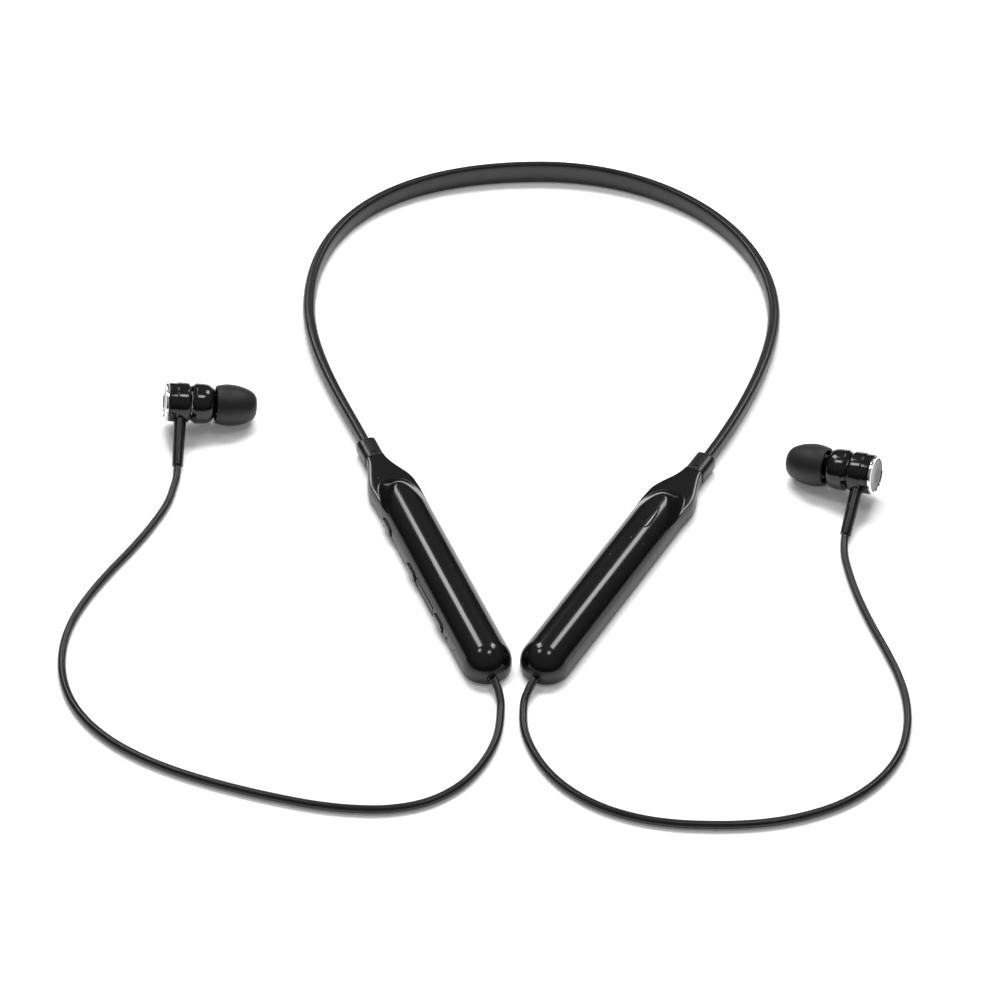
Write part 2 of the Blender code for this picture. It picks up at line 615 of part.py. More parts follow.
def make_band():
    """The silicone sleeve, with its spring wire and cable loom in one channel."""
    line, positions, left_end, right_end = band_route()
    along = np.gradient(line, axis=0)
    along[0], along[-1] = line[1] - line[0], line[-1] - line[-2]
    along /= np.linalg.norm(along, axis=1)[:, None]
    side = np.column_stack([-along[:, 1], along[:, 0]])
    outer, inner, core = [], [], []
    for point, across, position in zip(line, side, positions):
        thickness, height, middle = band_section(position)
        for rings, section in ((outer, superellipse(thickness / 2, height / 2, 2.8, 14)),
                               (inner, superellipse(BAND_BORE[0] / 2, BAND_BORE[1] / 2, 2.4, 10))):
            rings.append([(*(point + across * y), middle + z) for y, z in section])
        core.append((*point, middle))
    bm = bmesh.new()
    for rings in (outer, inner):
        verts = [[bm.verts.new(p) for p in ring] for ring in rings]
        for ring_a, ring_b in zip(verts, verts[1:]):
            for i in range(len(ring_a)):
                j = (i + 1) % len(ring_a)
                bm.faces.new((ring_a[i], ring_a[j], ring_b[j], ring_b[i]))
        rings[:] = verts
    for end in (0, -1):
        edges = [bm.edges.get((ring[i], ring[(i + 1) % len(ring)]))
                 for ring in (outer[end], inner[end]) for i in range(len(ring))]
        bmesh.ops.triangle_fill(bm, use_beauty=True, edges=edges)
    add_piece("neckband_sleeve", finished_mesh("neckband_sleeve", bm), "band_silicone")
    core = np.array(core)
    reach = []
    for place, direction in (left_end, right_end):
        reach.append((*(place + direction * CORE_REACH), BAND_AXIS_HEIGHT))
    core = np.vstack([reach[0], core, reach[1]])
    for name, radius, rise, material in (("spring_wire", WIRE_RADIUS, -CORE_SPACING / 2, "steel"),
                                         ("link_harness", HARNESS_RADIUS, CORE_SPACING / 2, "cord_sheath")):
        tube(name, core + np.array((0, 0, rise)), radius, material)


# ================================================================ left pod: controls and electronics
def wall_place(station, inset, level, side):
    """A place measured in from the pod's outer side wall."""
    return Matrix.Translation((station, OUTWARD[side] * (POD_WIDTH / 2 - inset), level))


def make_buttons(frame, shell):
    """Three push buttons in the left pod's outer wall, each with its side-push switch."""
    flange_depth = BUTTON_FLANGE[1]
    for name, station in zip(BUTTON_NAMES, BUTTON_STATIONS):
        hole = add_piece("hole_cutter_" + name,
                         obround_mesh("hole_" + name, BUTTON_LENGTH + 2 * GAP, BUTTON_HEIGHT + 2 * GAP,
                                      4 * SHELL_WALL), None, frame,
                         wall_place(station, SHELL_WALL / 2, BUTTON_LEVEL, "left"), cutter=True)
        cut(shell, hole)
        flange_inset = SHELL_WALL + GAP
        cap_depth = BUTTON_PROUD + flange_inset + flange_depth / 2
        button = add_piece("button_" + name,
                           obround_mesh("button_" + name, BUTTON_LENGTH, BUTTON_HEIGHT, cap_depth),
                           "button_plastic", frame,
                           wall_place(station, cap_depth / 2 - BUTTON_PROUD, BUTTON_LEVEL, "left"))
        flange = add_piece("flange_cutter_" + name, box_mesh("flange_" + name, BUTTON_FLANGE), None,
                           frame, wall_place(station, flange_inset + flange_depth / 2, BUTTON_LEVEL,
                                             "left"), cutter=True)
        join = button.modifiers.new("flange", "BOOLEAN")
        join.operation = "UNION"
        join.object = flange
        plunger_start = flange_inset + flange_depth + GAP
        body_start = plunger_start + BUTTON_TRAVEL + GAP
        plunger_end = body_start + SWITCH_PLUNGER_SUNK
        turn = Matrix.Rotation(math.pi / 2, 4, "X")
        add_piece("switch_plunger_" + name,
                  rod_mesh("plunger_" + name, SWITCH_PLUNGER_RADIUS, plunger_end - plunger_start, 12),
                  "chip_resin", frame,
                  wall_place(station, (plunger_start + plunger_end) / 2, BUTTON_LEVEL, "left") @ turn)
        switch = add_piece("tact_switch_" + name, box_mesh("switch_" + name, SWITCH_BODY),
                           "switch_metal", frame,
                           wall_place(station, body_start + SWITCH_BODY[1] / 2, BUTTON_LEVEL, "left"))
        well_depth = SWITCH_PLUNGER_SUNK + BUTTON_TRAVEL + GAP
        well = add_piece("well_cutter_" + name,
                         rod_mesh("well_" + name, SWITCH_PLUNGER_RADIUS + GAP, 2 * well_depth, 12),
                         None, frame, wall_place(station, body_start, BUTTON_LEVEL, "left") @ turn,
                         cutter=True)
        cut(switch, well)
    return SHELL_WALL + GAP + flange_depth + BUTTON_TRAVEL + 2 * GAP + SWITCH_BODY[1]


def make_port(frame, shell):
    """The charging socket, the recess in the wall, and the flap hinged at its tip end."""
    recess_depth = FLAP_THICKNESS + GAP
    recess = add_piece("flap_recess_cutter",
                       box_mesh("flap_recess", (FLAP_LENGTH + 2 * GAP, 2 * recess_depth,
                                                FLAP_HEIGHT + 2 * GAP)), None, frame,
                       wall_place(PORT_STATION, 0.0, BUTTON_LEVEL, "left"), cutter=True)
    cut(shell, recess)
    length, depth, height = SOCKET_SIZE
    level = SHELL_FLOOR + GAP + height / 2
    hole = add_piece("port_hole_cutter",
                     box_mesh("port_hole", (PORT_HOLE[0], 4 * SHELL_WALL, PORT_HOLE[1])), None, frame,
                     wall_place(PORT_STATION, SHELL_WALL / 2, level, "left"), cutter=True)
    cut(shell, hole)
    hinge = wall_place(PORT_STATION + FLAP_LENGTH / 2 - FLAP_HINGE_INSET, FLAP_THICKNESS / 2,
                       BUTTON_LEVEL, "left")
    flap_mesh = box_mesh("port_flap", (FLAP_LENGTH, FLAP_THICKNESS, FLAP_HEIGHT), bevel=0.0002)
    flap_mesh.transform(Matrix.Translation((FLAP_HINGE_INSET - FLAP_LENGTH / 2, 0, 0)))
    add_piece("port_flap", flap_mesh, "tip_silicone", frame, hinge)
    socket_start = SHELL_WALL + GAP
    socket = add_piece("charging_socket", box_mesh("charging_socket", SOCKET_SIZE), "switch_metal",
                       frame, wall_place(PORT_STATION, socket_start + depth / 2, level, "left"))
    mouth = add_piece("socket_mouth_cutter",
                      box_mesh("socket_mouth", (length - 2 * SOCKET_WALL, 2 * (depth - 2 * SOCKET_WALL),
                                                height - 2 * SOCKET_WALL)), None, frame,
                      wall_place(PORT_STATION, socket_start, level, "left"), cutter=True)
    cut(socket, mouth)


def make_sensors(frame, shell):
    """The microphone behind its hole, and the light pipe beside it."""
    turn = Matrix.Rotation(math.pi / 2, 4, "X")
    for name, station, radius in (("microphone", MICROPHONE_STATION, MICROPHONE_HOLE_RADIUS),
                                  ("light", LIGHT_STATION, LIGHT_RADIUS + GAP)):
        hole = add_piece(name + "_hole_cutter", rod_mesh(name + "_hole", radius, 4 * SHELL_WALL, 12),
                         None, frame, wall_place(station, 0.0, BUTTON_LEVEL, "left") @ turn, cutter=True)
        cut(shell, hole)
    add_piece("microphone", box_mesh("microphone", MICROPHONE_SIZE), "switch_metal", frame,
              wall_place(MICROPHONE_STATION, SHELL_WALL + GAP + MICROPHONE_SIZE[1] / 2, BUTTON_LEVEL,
                         "left"))
    add_piece("light_pipe", rod_mesh("light_pipe", LIGHT_RADIUS, 2 * SHELL_WALL, 12), "lens", frame,
              wall_place(LIGHT_STATION, SHELL_WALL, BUTTON_LEVEL, "left") @ turn)


def make_main_board(frame, switch_back):
    """The main board beside the switches, notched for the socket, and what it carries."""
    out = OUTWARD["left"]
    near_edge = POD_WIDTH / 2 - switch_back - GAP
    width = near_edge - BOARD_FAR_EDGE
    middle = (near_edge + BOARD_FAR_EDGE) / 2
    length = BOARD_END - BOARD_START
    station = (BOARD_START + BOARD_END) / 2
    board = add_piece("main_board", box_mesh("main_board", (length, width, BOARD_THICKNESS)),
                      "circuit_board", frame,
                      Matrix.Translation((station, out * middle, BOARD_LEVEL + BOARD_THICKNESS / 2)))
    socket_back = POD_WIDTH / 2 - SHELL_WALL - GAP - SOCKET_SIZE[1]
    notch = add_piece("board_notch_cutter",
                      box_mesh("board_notch", (SOCKET_SIZE[0] + 2 * GAP, 2 * (near_edge - socket_back
                                                                            + GAP),
                                               4 * BOARD_THICKNESS)), None, frame,
                      Matrix.Translation((PORT_STATION, out * near_edge,
                                          BOARD_LEVEL + BOARD_THICKNESS / 2)), cutter=True)
    cut(board, notch)
    top = BOARD_LEVEL + BOARD_THICKNESS + GAP
    for name, size, place, material in (("radio_chip", RADIO_CHIP, 0.0400, "chip_resin"),
                                        ("charge_chip", CHARGE_CHIP, 0.0660, "chip_resin"),
                                        ("antenna", ANTENNA, 0.0740, "foam")):
        add_piece(name, box_mesh(name, size), material, frame,
                  Matrix.Translation((place, out * middle, top + size[2] / 2)))


# ================================================================ right pod: power
def make_power(frame):
    """Battery, its foam pad, the protection board with its light, and the vibration motor."""
    floor = SHELL_FLOOR + GAP
    add_piece("battery_cell", box_mesh("battery_cell", BATTERY, bevel=0.0006), "battery_foil", frame,
              Matrix.Translation((BATTERY_STATION, 0, floor + BATTERY[2] / 2)))
    pad_level = floor + BATTERY[2] + GAP
    add_piece("battery_foam", box_mesh("battery_foam", BATTERY_FOAM), "foam", frame,
              Matrix.Translation((BATTERY_STATION, 0, pad_level + BATTERY_FOAM[2] / 2)))
    add_piece("protection_board", box_mesh("protection_board", PROTECTION_BOARD), "circuit_board",
              frame, Matrix.Translation((PROTECTION_STATION, 0, BOARD_LEVEL + BOARD_THICKNESS / 2)))
    led_level = BOARD_LEVEL + BOARD_THICKNESS + GAP + STATUS_LED[2] / 2
    add_piece("status_led", box_mesh("status_led", STATUS_LED), "lens", frame,
              Matrix.Translation((WINDOW_STATION, OUTWARD["right"] * WINDOW_OFFSET, led_level)))
    add_piece("vibration_motor", rod_mesh("vibration_motor", MOTOR_RADIUS, MOTOR_HEIGHT, 20), "steel",
              frame, Matrix.Translation((MOTOR_STATION, 0, floor + MOTOR_HEIGHT / 2)))


def make_status_window(frame, cover):
    """A slender leaf-shaped window let into the right cover beside its crest."""
    out = OUTWARD["right"]
    flip = Matrix.Rotation(math.pi, 4, "Z")
    hole = add_piece("window_hole_cutter",
                     leaf_mesh("window_hole", WINDOW_LENGTH + 4 * GAP, WINDOW_WIDTH + 2 * GAP,
                               6 * COVER_WALL), None, frame,
                     Matrix.Translation((WINDOW_STATION, out * WINDOW_OFFSET, POD_HEIGHT)) @ flip,
                     cutter=True)
    cut(cover, hole)
    surface = SIDE_HEIGHT + (POD_HEIGHT - SIDE_HEIGHT) * math.sqrt(
        1 - (WINDOW_OFFSET / (POD_WIDTH / 2)) ** 2)
    add_piece("status_window", leaf_mesh("status_window", WINDOW_LENGTH, WINDOW_WIDTH, WINDOW_THICKNESS),
              "lens", frame,
              Matrix.Translation((WINDOW_STATION, out * WINDOW_OFFSET,
                                  surface - WINDOW_THICKNESS / 2)) @ flip)


# ================================================================ earbuds
def bud_matrix(side):
    """A bud's frame: origin at the ring's back, Z towards the ear tip, X along the cord's exit."""
    ring = Vector(BUD_RING_CENTRE[side])
    axis = (Vector(BUD_TIP_END[side]) - ring).normalized()
    leave = Vector(BUD_CORD_END[side]) - (ring + axis * STRAIN_STATION)
    leave = (leave - axis * leave.dot(axis)).normalized()
    columns = Matrix((leave, axis.cross(leave), axis)).transposed().to_4x4()
    return Matrix.Translation(ring) @ columns


def make_bud(side):
    """One earbud: housings, ring, disc, driver, nozzle mesh, strain relief and ear tip."""
    frame = make_frame(side + "_bud_frame", bud_matrix(side))
    seat = RING_THICKNESS + GAP
    disc_radius = BUD_RIM_RADIUS - RING_WIDTH - GAP
    rear_inner = BUD_RADIUS - BUD_WALL
    back_inner = seat + BUD_WALL
    rear = turned(side + "_rear_housing", [
        (0.0, back_inner), (rear_inner - 0.0004, back_inner), (rear_inner, back_inner + 0.0004),
        (rear_inner, REAR_END), (BUD_RADIUS - 0.0006, REAR_END), (BUD_RADIUS, REAR_END - 0.0007),
        (BUD_RADIUS, BUD_RIM_END + 0.0003), (BUD_RIM_RADIUS, BUD_RIM_END), (BUD_RIM_RADIUS, seat),
        (0.0, seat)], "button_plastic", frame)
    station = Vector((0, 0, STRAIN_STATION))
    leave = frame.matrix_world.inverted() @ Vector(BUD_CORD_END[side]) - station
    aim = leave.to_track_quat("Z", "Y").to_matrix().to_4x4()
    strain_start = BUD_RADIUS - BUD_WALL
    strain_length = leave.length - strain_start
    middle = strain_start + strain_length / 2
    side_hole = add_piece(side + "_strain_cutter",
                          rod_mesh(side + "_strain_hole", STRAIN_RADIUS + GAP, strain_length, 16), None,
                          frame, Matrix.Translation(station + leave.normalized() * middle) @ aim,
                          cutter=True)
    cut(rear, side_hole)
    ring_inner = BUD_RIM_RADIUS - RING_WIDTH
    turned(side + "_trim_ring", [
        (ring_inner, RING_THICKNESS), (BUD_RIM_RADIUS, RING_THICKNESS), (BUD_RIM_RADIUS, 0.0002),
        (BUD_RIM_RADIUS - 0.0002, 0.0), (ring_inner + 0.0002, 0.0), (ring_inner, 0.0003)],
        "polished_ring", frame, closed=True)
    turned(side + "_back_disc", [
        (0.0, seat - GAP), (disc_radius, seat - GAP), (disc_radius, DISC_RECESS), (0.0, DISC_RECESS)],
        "gloss_shell", frame)
    front_inner = BUD_RADIUS - BUD_WALL
    turned(side + "_front_housing", [
        (NOZZLE_BORE, NOZZLE_END), (NOZZLE_RADIUS, NOZZLE_END), (NOZZLE_RADIUS, FRONT_END),
        (BUD_RADIUS - 0.0014, FRONT_END), (BUD_RADIUS - 0.0003, FRONT_END - 0.0012),
        (BUD_RADIUS, FRONT_END - 0.0024), (BUD_RADIUS, FRONT_START + 0.0010),
        (BUD_RADIUS - 0.0007, FRONT_START), (front_inner, FRONT_START),
        (front_inner, FRONT_END - 0.0024), (NOZZLE_BORE + 0.0008, FRONT_END - 0.0012),
        (NOZZLE_BORE, FRONT_END - 0.0004)], "button_plastic", frame, closed=True)
    driver_start = FRONT_START + 0.0002
    driver_radius = front_inner - GAP
    turned(side + "_driver", [
        (0.0, driver_start + DRIVER_THICKNESS), (driver_radius, driver_start + DRIVER_THICKNESS),
        (driver_radius, driver_start + DRIVER_THICKNESS - 0.0008),
        (0.0030, driver_start), (0.0, driver_start)], "steel", frame)
    mesh_radius = NOZZLE_BORE - GAP / 2
    add_piece(side + "_nozzle_mesh", rod_mesh(side + "_nozzle_mesh", mesh_radius, MESH_THICKNESS, 16),
              "steel", frame, Matrix.Translation((0, 0, NOZZLE_END - MESH_THICKNESS)))
    turned(side + "_strain_relief", [
        (STRAIN_BORE_RADIUS, strain_length), (STRAIN_END_RADIUS, strain_length),
        (STRAIN_RADIUS, 0.0), (STRAIN_BORE_RADIUS, 0.0)], "cord_sheath", frame,
        Matrix.Translation(station + leave.normalized() * strain_start) @ aim, steps=16, closed=True)
    tip_end = EARTIP_START + EARTIP_LENGTH
    tube_inner = NOZZLE_RADIUS + GAP
    wall = EARTIP_SKIRT_WALL
    turned(side + "_ear_tip", [
        (EARTIP_BORE_RADIUS, tip_end), (0.0030, tip_end - 0.0001), (0.0043, tip_end - 0.0012),
        (0.0052, tip_end - 0.0035), (EARTIP_RADIUS, EARTIP_START + 0.0043),
        (EARTIP_RADIUS - 0.0001, EARTIP_START + 0.0020), (EARTIP_RADIUS - 0.0006, EARTIP_START),
        (EARTIP_RADIUS - 0.0006 - wall, EARTIP_START + 0.0002),
        (EARTIP_RADIUS - wall, EARTIP_START + 0.0040), (0.0042, tip_end - 0.0036),
        (tube_inner + wall, tip_end - 0.0036), (tube_inner + wall, EARTIP_START + 0.0007),
        (tube_inner, EARTIP_START + 0.0007), (tube_inner, NOZZLE_END + GAP),
        (EARTIP_BORE_RADIUS, NOZZLE_END + GAP)], "tip_silicone", frame, closed=True)


# ================================================================ assembly
make_band()
for arm_side in ("left", "right"):
    arm_frame = make_frame(arm_side + "_arm_frame", arm_matrix(arm_side))
    make_collar(arm_side, arm_frame)
    lower_shell = make_lower_shell(arm_side, arm_frame)
    upper_cover = make_upper_cover(arm_side, arm_frame)
    make_gland(arm_side, arm_frame)
    if arm_side == "left":
        board_edge_inset = make_buttons(arm_frame, lower_shell)
        make_port(arm_frame, lower_shell)
        make_sensors(arm_frame, lower_shell)
        make_main_board(arm_frame, board_edge_inset)
    else:
        make_power(arm_frame)
        make_status_window(arm_frame, upper_cover)
    make_bud(arm_side)
    tube(arm_side + "_cord", smooth_route(CORD_ROUTES[arm_side], CORD_SPACING), CORD_RADIUS,
         "cord_sheath")
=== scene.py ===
import math

import bmesh
import bpy
import numpy as np
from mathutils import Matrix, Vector


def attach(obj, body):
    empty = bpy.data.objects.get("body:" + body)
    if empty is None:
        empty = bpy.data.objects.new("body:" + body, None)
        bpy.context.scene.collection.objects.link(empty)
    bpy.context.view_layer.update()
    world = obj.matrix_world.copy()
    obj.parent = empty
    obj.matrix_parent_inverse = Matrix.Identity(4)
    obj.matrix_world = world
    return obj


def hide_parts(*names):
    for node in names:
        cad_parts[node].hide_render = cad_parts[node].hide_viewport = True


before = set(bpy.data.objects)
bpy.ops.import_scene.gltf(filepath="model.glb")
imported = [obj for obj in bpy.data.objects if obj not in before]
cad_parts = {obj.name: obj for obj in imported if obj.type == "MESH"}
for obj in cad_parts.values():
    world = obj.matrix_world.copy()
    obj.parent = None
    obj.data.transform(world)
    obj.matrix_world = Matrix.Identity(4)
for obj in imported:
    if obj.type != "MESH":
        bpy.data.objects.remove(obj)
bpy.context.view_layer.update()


# ================================================ table, lamps and camera
# The set lies on a seamless white table top in a bright tent. Two pairs of soft boxes hang
# behind it, two panels above it and a wash over the table that no gloss mirrors. The view is
# from 45 degrees above.
CAMERA_PLACE, CAMERA_TILT = (-0.0045, -0.5771, 0.5439), math.radians(45)
CAMERA_LENS, SENSOR_WIDTH = 108.0, 36.0
TABLE_SIZE, TABLE_ROUGHNESS = 3.0, 0.9
TABLE_COLOUR = (0.93, 0.93, 0.93, 1)
WHITE = (1, 1, 1, 1)
TABLE_GLOW = 0.10         # light that the translucent table lets through from below
CEILING_GLOW = 0.27       # radiance of the studio straight above
HORIZON_GLOW = 0.05       # radiance of the studio at table height
GLOW_RISE = (0.05, 0.75)  # share of straight up between which the radiance rises
SOFT_BOXES = {            # place, size across and along, watts
    "left_key_low": ((-0.36, 0.66, 0.66), (0.24, 0.16), 1.2),
    "left_key_high": ((-0.36, 0.50, 0.80), (0.24, 0.16), 1.2),
    "right_key_low": ((0.40, 0.58, 0.70), (0.24, 0.16), 1.2),
    "right_key_high": ((0.40, 0.42, 0.82), (0.24, 0.16), 1.2),
    "left_top_panel": ((0.21, -0.08, 0.91), (0.20, 0.16), 0.9),
    "right_top_panel": ((-0.38, 0.09, 0.83), (0.20, 0.16), 0.9),
    "table_wash": ((0.00, 0.50, 0.90), (0.60, 0.30), 11.0)}


def add_object(name, data):
    """A new object that shows the data, linked into the scene."""
    made = bpy.data.objects.new(name, data)
    bpy.context.scene.collection.objects.link(made)
    return made


def new_material(name, **values):
    """A material, its node tree and its shader, with sockets set by name (underscores for spaces)."""
    material = bpy.data.materials.new(name)
    material.use_nodes = True
    shader = material.node_tree.nodes["Principled BSDF"]
    for socket, value in values.items():
        shader.inputs[socket.replace("_", " ")].default_value = value
    return material, material.node_tree, shader


camera_data = bpy.data.cameras.new("camera")
camera_data.sensor_width, camera_data.lens = SENSOR_WIDTH, CAMERA_LENS
camera = add_object("camera", camera_data)
camera.location = CAMERA_PLACE
camera.rotation_euler = (CAMERA_TILT, 0.0, 0.0)
bpy.context.scene.camera = camera
bpy.context.scene.view_settings.view_transform = "Standard"

for box_name, (place, size, watts) in SOFT_BOXES.items():
    lamp = bpy.data.lights.new(box_name, "AREA")
    lamp.shape = "RECTANGLE"
    lamp.size, lamp.size_y = size
    lamp.energy = watts
    soft_box = add_object(box_name, lamp)
    soft_box.location = place
    soft_box.rotation_euler = (-Vector(place)).to_track_quat("-Z", "Y").to_euler()
    soft_box.visible_glossy = box_name != "table_wash"

studio = bpy.data.worlds.new("studio")
studio.use_nodes = True
bpy.context.scene.world = studio
sky = studio.node_tree
sky_ray = sky.nodes.new("ShaderNodeTexCoord")
sky_height = sky.nodes.new("ShaderNodeSeparateXYZ")
sky_ramp = sky.nodes.new("ShaderNodeMapRange")
sky_ramp.interpolation_type = "SMOOTHSTEP"
sky.nodes["Background"].inputs["Color"].default_value = WHITE
for socket, value in (("From Min", GLOW_RISE[0]), ("From Max", GLOW_RISE[1]),
                      ("To Min", HORIZON_GLOW), ("To Max", CEILING_GLOW)):
    sky_ramp.inputs[socket].default_value = value
sky.links.new(sky_ray.outputs["Generated"], sky_height.inputs["Vector"])
sky.links.new(sky_height.outputs["Z"], sky_ramp.inputs["Value"])
sky.links.new(sky_ramp.outputs["Result"], sky.nodes["Background"].inputs["Strength"])

table_mesh = bpy.data.meshes.new("table_top")
half_table = TABLE_SIZE / 2
table_mesh.from_pydata([(-half_table, -half_table, 0), (half_table, -half_table, 0),
                        (half_table, half_table, 0), (-half_table, half_table, 0)],
                       [], [(0, 1, 2, 3)])
table_mesh.materials.append(new_material(
    "table_white", Base_Color=TABLE_COLOUR, Roughness=TABLE_ROUGHNESS, Emission_Color=WHITE,
    Emission_Strength=TABLE_GLOW)[0])
table_top = add_object("table_top", table_mesh)


# ================================================ cords
# Two limp two-millimetre cords in a smooth black elastomer sheath, one from the end of each
# pod round to its earbud. They lie on the table in one open loop each.
CORD_DIAMETER = 0.0020
CORD_POINT_SPACING = 0.0010
CORD_SPAN_STEPS = 24      # points on the curve between two of a route's own
CORD_LYING = 0.00103      # height of a cord's middle on the table
DUST_COLOUR = (0.10, 0.10, 0.10, 1.0)
CORD_ROUTES = {
    "left": [(-0.0059, -0.0971, 0.00275), (-0.0048, -0.1002, 0.0020), (-0.0043, -0.1046, 0.0011),
             (-0.0052, -0.1134), (-0.0085, -0.1216), (-0.0139, -0.1286), (-0.0213, -0.1334),
             (-0.0299, -0.1355), (-0.0388, -0.1355), (-0.0476, -0.1343), (-0.0562, -0.1323),
             (-0.0647, -0.1299), (-0.0731, -0.1271), (-0.0814, -0.1238), (-0.0893, -0.1198),
             (-0.0966, -0.1149), (-0.1030, -0.1087), (-0.1078, -0.1013), (-0.1105, -0.0929),
             (-0.1110, -0.0840), (-0.1094, -0.0753), (-0.1061, -0.0671), (-0.1019, -0.0593),
             (-0.0973, -0.0517), (-0.0931, -0.0439), (-0.0896, -0.0356), (-0.0883, -0.0290),
             (-0.0879, -0.0256), (-0.0879, -0.0225, 0.0014)],
    "right": [(0.0037, -0.0970, 0.00275), (0.0022, -0.1002, 0.0020), (0.0012, -0.1036, 0.0012),
              (0.0013, -0.1113), (0.0037, -0.1189), (0.0078, -0.1257), (0.0134, -0.1313),
              (0.0201, -0.1355), (0.0276, -0.1383), (0.0354, -0.1398), (0.0433, -0.1403),
              (0.0512, -0.1402), (0.0591, -0.1393), (0.0668, -0.1374), (0.0742, -0.1344),
              (0.0808, -0.1301), (0.0864, -0.1244), (0.0904, -0.1176), (0.0925, -0.1099),
              (0.0929, -0.1020), (0.0918, -0.0941), (0.0897, -0.0865), (0.0872, -0.0789),
              (0.0850, -0.0713), (0.0833, -0.0636), (0.0822, -0.0557), (0.0822, -0.0511),
              (0.0827, -0.0474, 0.0014)]}


def effect_group(name, inputs, outputs):
    """An empty shader group with number inputs and the named outputs."""
    group = bpy.data.node_groups.new(name, "ShaderNodeTree")
    for socket, value in inputs.items():
        group.interface.new_socket(name=socket, in_out="INPUT",
                                   socket_type="NodeSocketFloat").default_value = value
    for socket, kind in outputs.items():
        group.interface.new_socket(name=socket, in_out="OUTPUT", socket_type=kind)
    return group, group.nodes.new("NodeGroupInput"), group.nodes.new("NodeGroupOutput")


def add_node(tree, kind, links=(), **values):
    """A node with its sockets set by name (underscores for spaces) and linked from (input, source)."""
    node = tree.nodes.new(kind)
    for name, value in values.items():
        node.inputs[name.replace("_", " ")].default_value = value
    for socket, source in links:
        tree.links.new(source, node.inputs[socket])
    return node


def noise_at(group, given, scale, **values):
    """Noise over a piece's own coordinates, at the scale that is given to the group."""
    place = group.nodes.new("ShaderNodeTexCoord")
    return add_node(group, "ShaderNodeTexNoise", [("Vector", place.outputs["Object"]),
                                                  ("Scale", given.outputs[scale])], **values)


def make_moulded_grain():
    """Fine mould texture: one noise of the given size, read as a bump."""
    group, given, result = effect_group(
        "moulded_grain", {"Grain Scale": 3000.0, "Grain Depth": 0.2}, {"Normal": "NodeSocketVector"})
    coarse = noise_at(group, given, "Grain Scale", Detail=2.0, Roughness=0.6)
    bump = add_node(group, "ShaderNodeBump", [("Height", coarse.outputs["Fac"]),
                                              ("Strength", given.outputs["Grain Depth"])],
                    Distance=0.00002)
    group.links.new(bump.outputs["Normal"], result.inputs["Normal"])
    return group


def make_handled_sheen():
    """Roughness of a handled surface: its own value, raised where slow noise says it was touched."""
    group, given, result = effect_group(
        "handled_sheen", {"Clean": 0.1, "Touched": 0.2, "Patch Scale": 90.0},
        {"Roughness": "NodeSocketFloat"})
    patches = noise_at(group, given, "Patch Scale", Detail=4.0, Roughness=0.65, Distortion=0.6)
    spread = add_node(group, "ShaderNodeMapRange", [("Value", patches.outputs["Fac"]),
                                                    ("To Min", given.outputs["Clean"]),
                                                    ("To Max", given.outputs["Touched"])],
                      From_Min=0.45, From_Max=0.75)
    group.links.new(spread.outputs["Result"], result.inputs["Roughness"])
    return group


def make_settled_dust():
    """A mask of tiny specks: where fine noise passes a threshold on faces that look up."""
    group, given, result = effect_group(
        "settled_dust", {"Speck Scale": 1400.0, "Threshold": 0.74}, {"Mask": "NodeSocketFloat"})
    specks = noise_at(group, given, "Speck Scale", Detail=1.0, Roughness=0.4)
    passed = add_node(group, "ShaderNodeMath", [(0, specks.outputs["Fac"]),
                                                (1, given.outputs["Threshold"])])
    passed.operation = "GREATER_THAN"
    facing = group.nodes.new("ShaderNodeNewGeometry")
    height = add_node(group, "ShaderNodeSeparateXYZ", [("Vector", facing.outputs["Normal"])])
    upward = add_node(group, "ShaderNodeMapRange", [("Value", height.outputs["Z"])],
                      From_Min=0.3, From_Max=0.9)
    mask = add_node(group, "ShaderNodeMath", [(0, passed.outputs[0]), (1, upward.outputs["Result"])])
    mask.operation = "MULTIPLY"
    group.links.new(mask.outputs[0], result.inputs["Mask"])
    return group


MOULDED_GRAIN = make_moulded_grain()
HANDLED_SHEEN = make_handled_sheen()
SETTLED_DUST = make_settled_dust()


def moulded_black(name, colour, clean, touched, grain, dust=0.74, patch=90.0):
    """A moulded polymer: its colour with specks of dust, a handled sheen and a fine grain."""
    material, tree, shader = new_material(name)
    groups = {}
    for key, group, values in (("sheen", HANDLED_SHEEN, {"Clean": clean, "Touched": touched,
                                                         "Patch Scale": patch}),
                               ("grain", MOULDED_GRAIN, {"Grain Scale": grain[0],
                                                         "Grain Depth": grain[1]}),
                               ("dust", SETTLED_DUST, {"Threshold": dust})):
        groups[key] = tree.nodes.new("ShaderNodeGroup")
        groups[key].node_tree = group
        for socket, value in values.items():
            groups[key].inputs[socket].default_value = value
    mix = tree.nodes.new("ShaderNodeMix")
    mix.data_type = "RGBA"
    mix.inputs["A"].default_value = (*colour, 1.0)
    mix.inputs["B"].default_value = DUST_COLOUR
    tree.links.new(groups["dust"].outputs["Mask"], mix.inputs["Factor"])
    tree.links.new(mix.outputs["Result"], shader.inputs["Base Color"])
    tree.links.new(groups["sheen"].outputs["Roughness"], shader.inputs["Roughness"])
    tree.links.new(groups["grain"].outputs["Normal"], shader.inputs["Normal"])
    return material


cord_elastomer = moulded_black("cord_elastomer", (0.003, 0.003, 0.0035), 0.30, 0.40,
                               (4000.0, 0.15), dust=0.80)


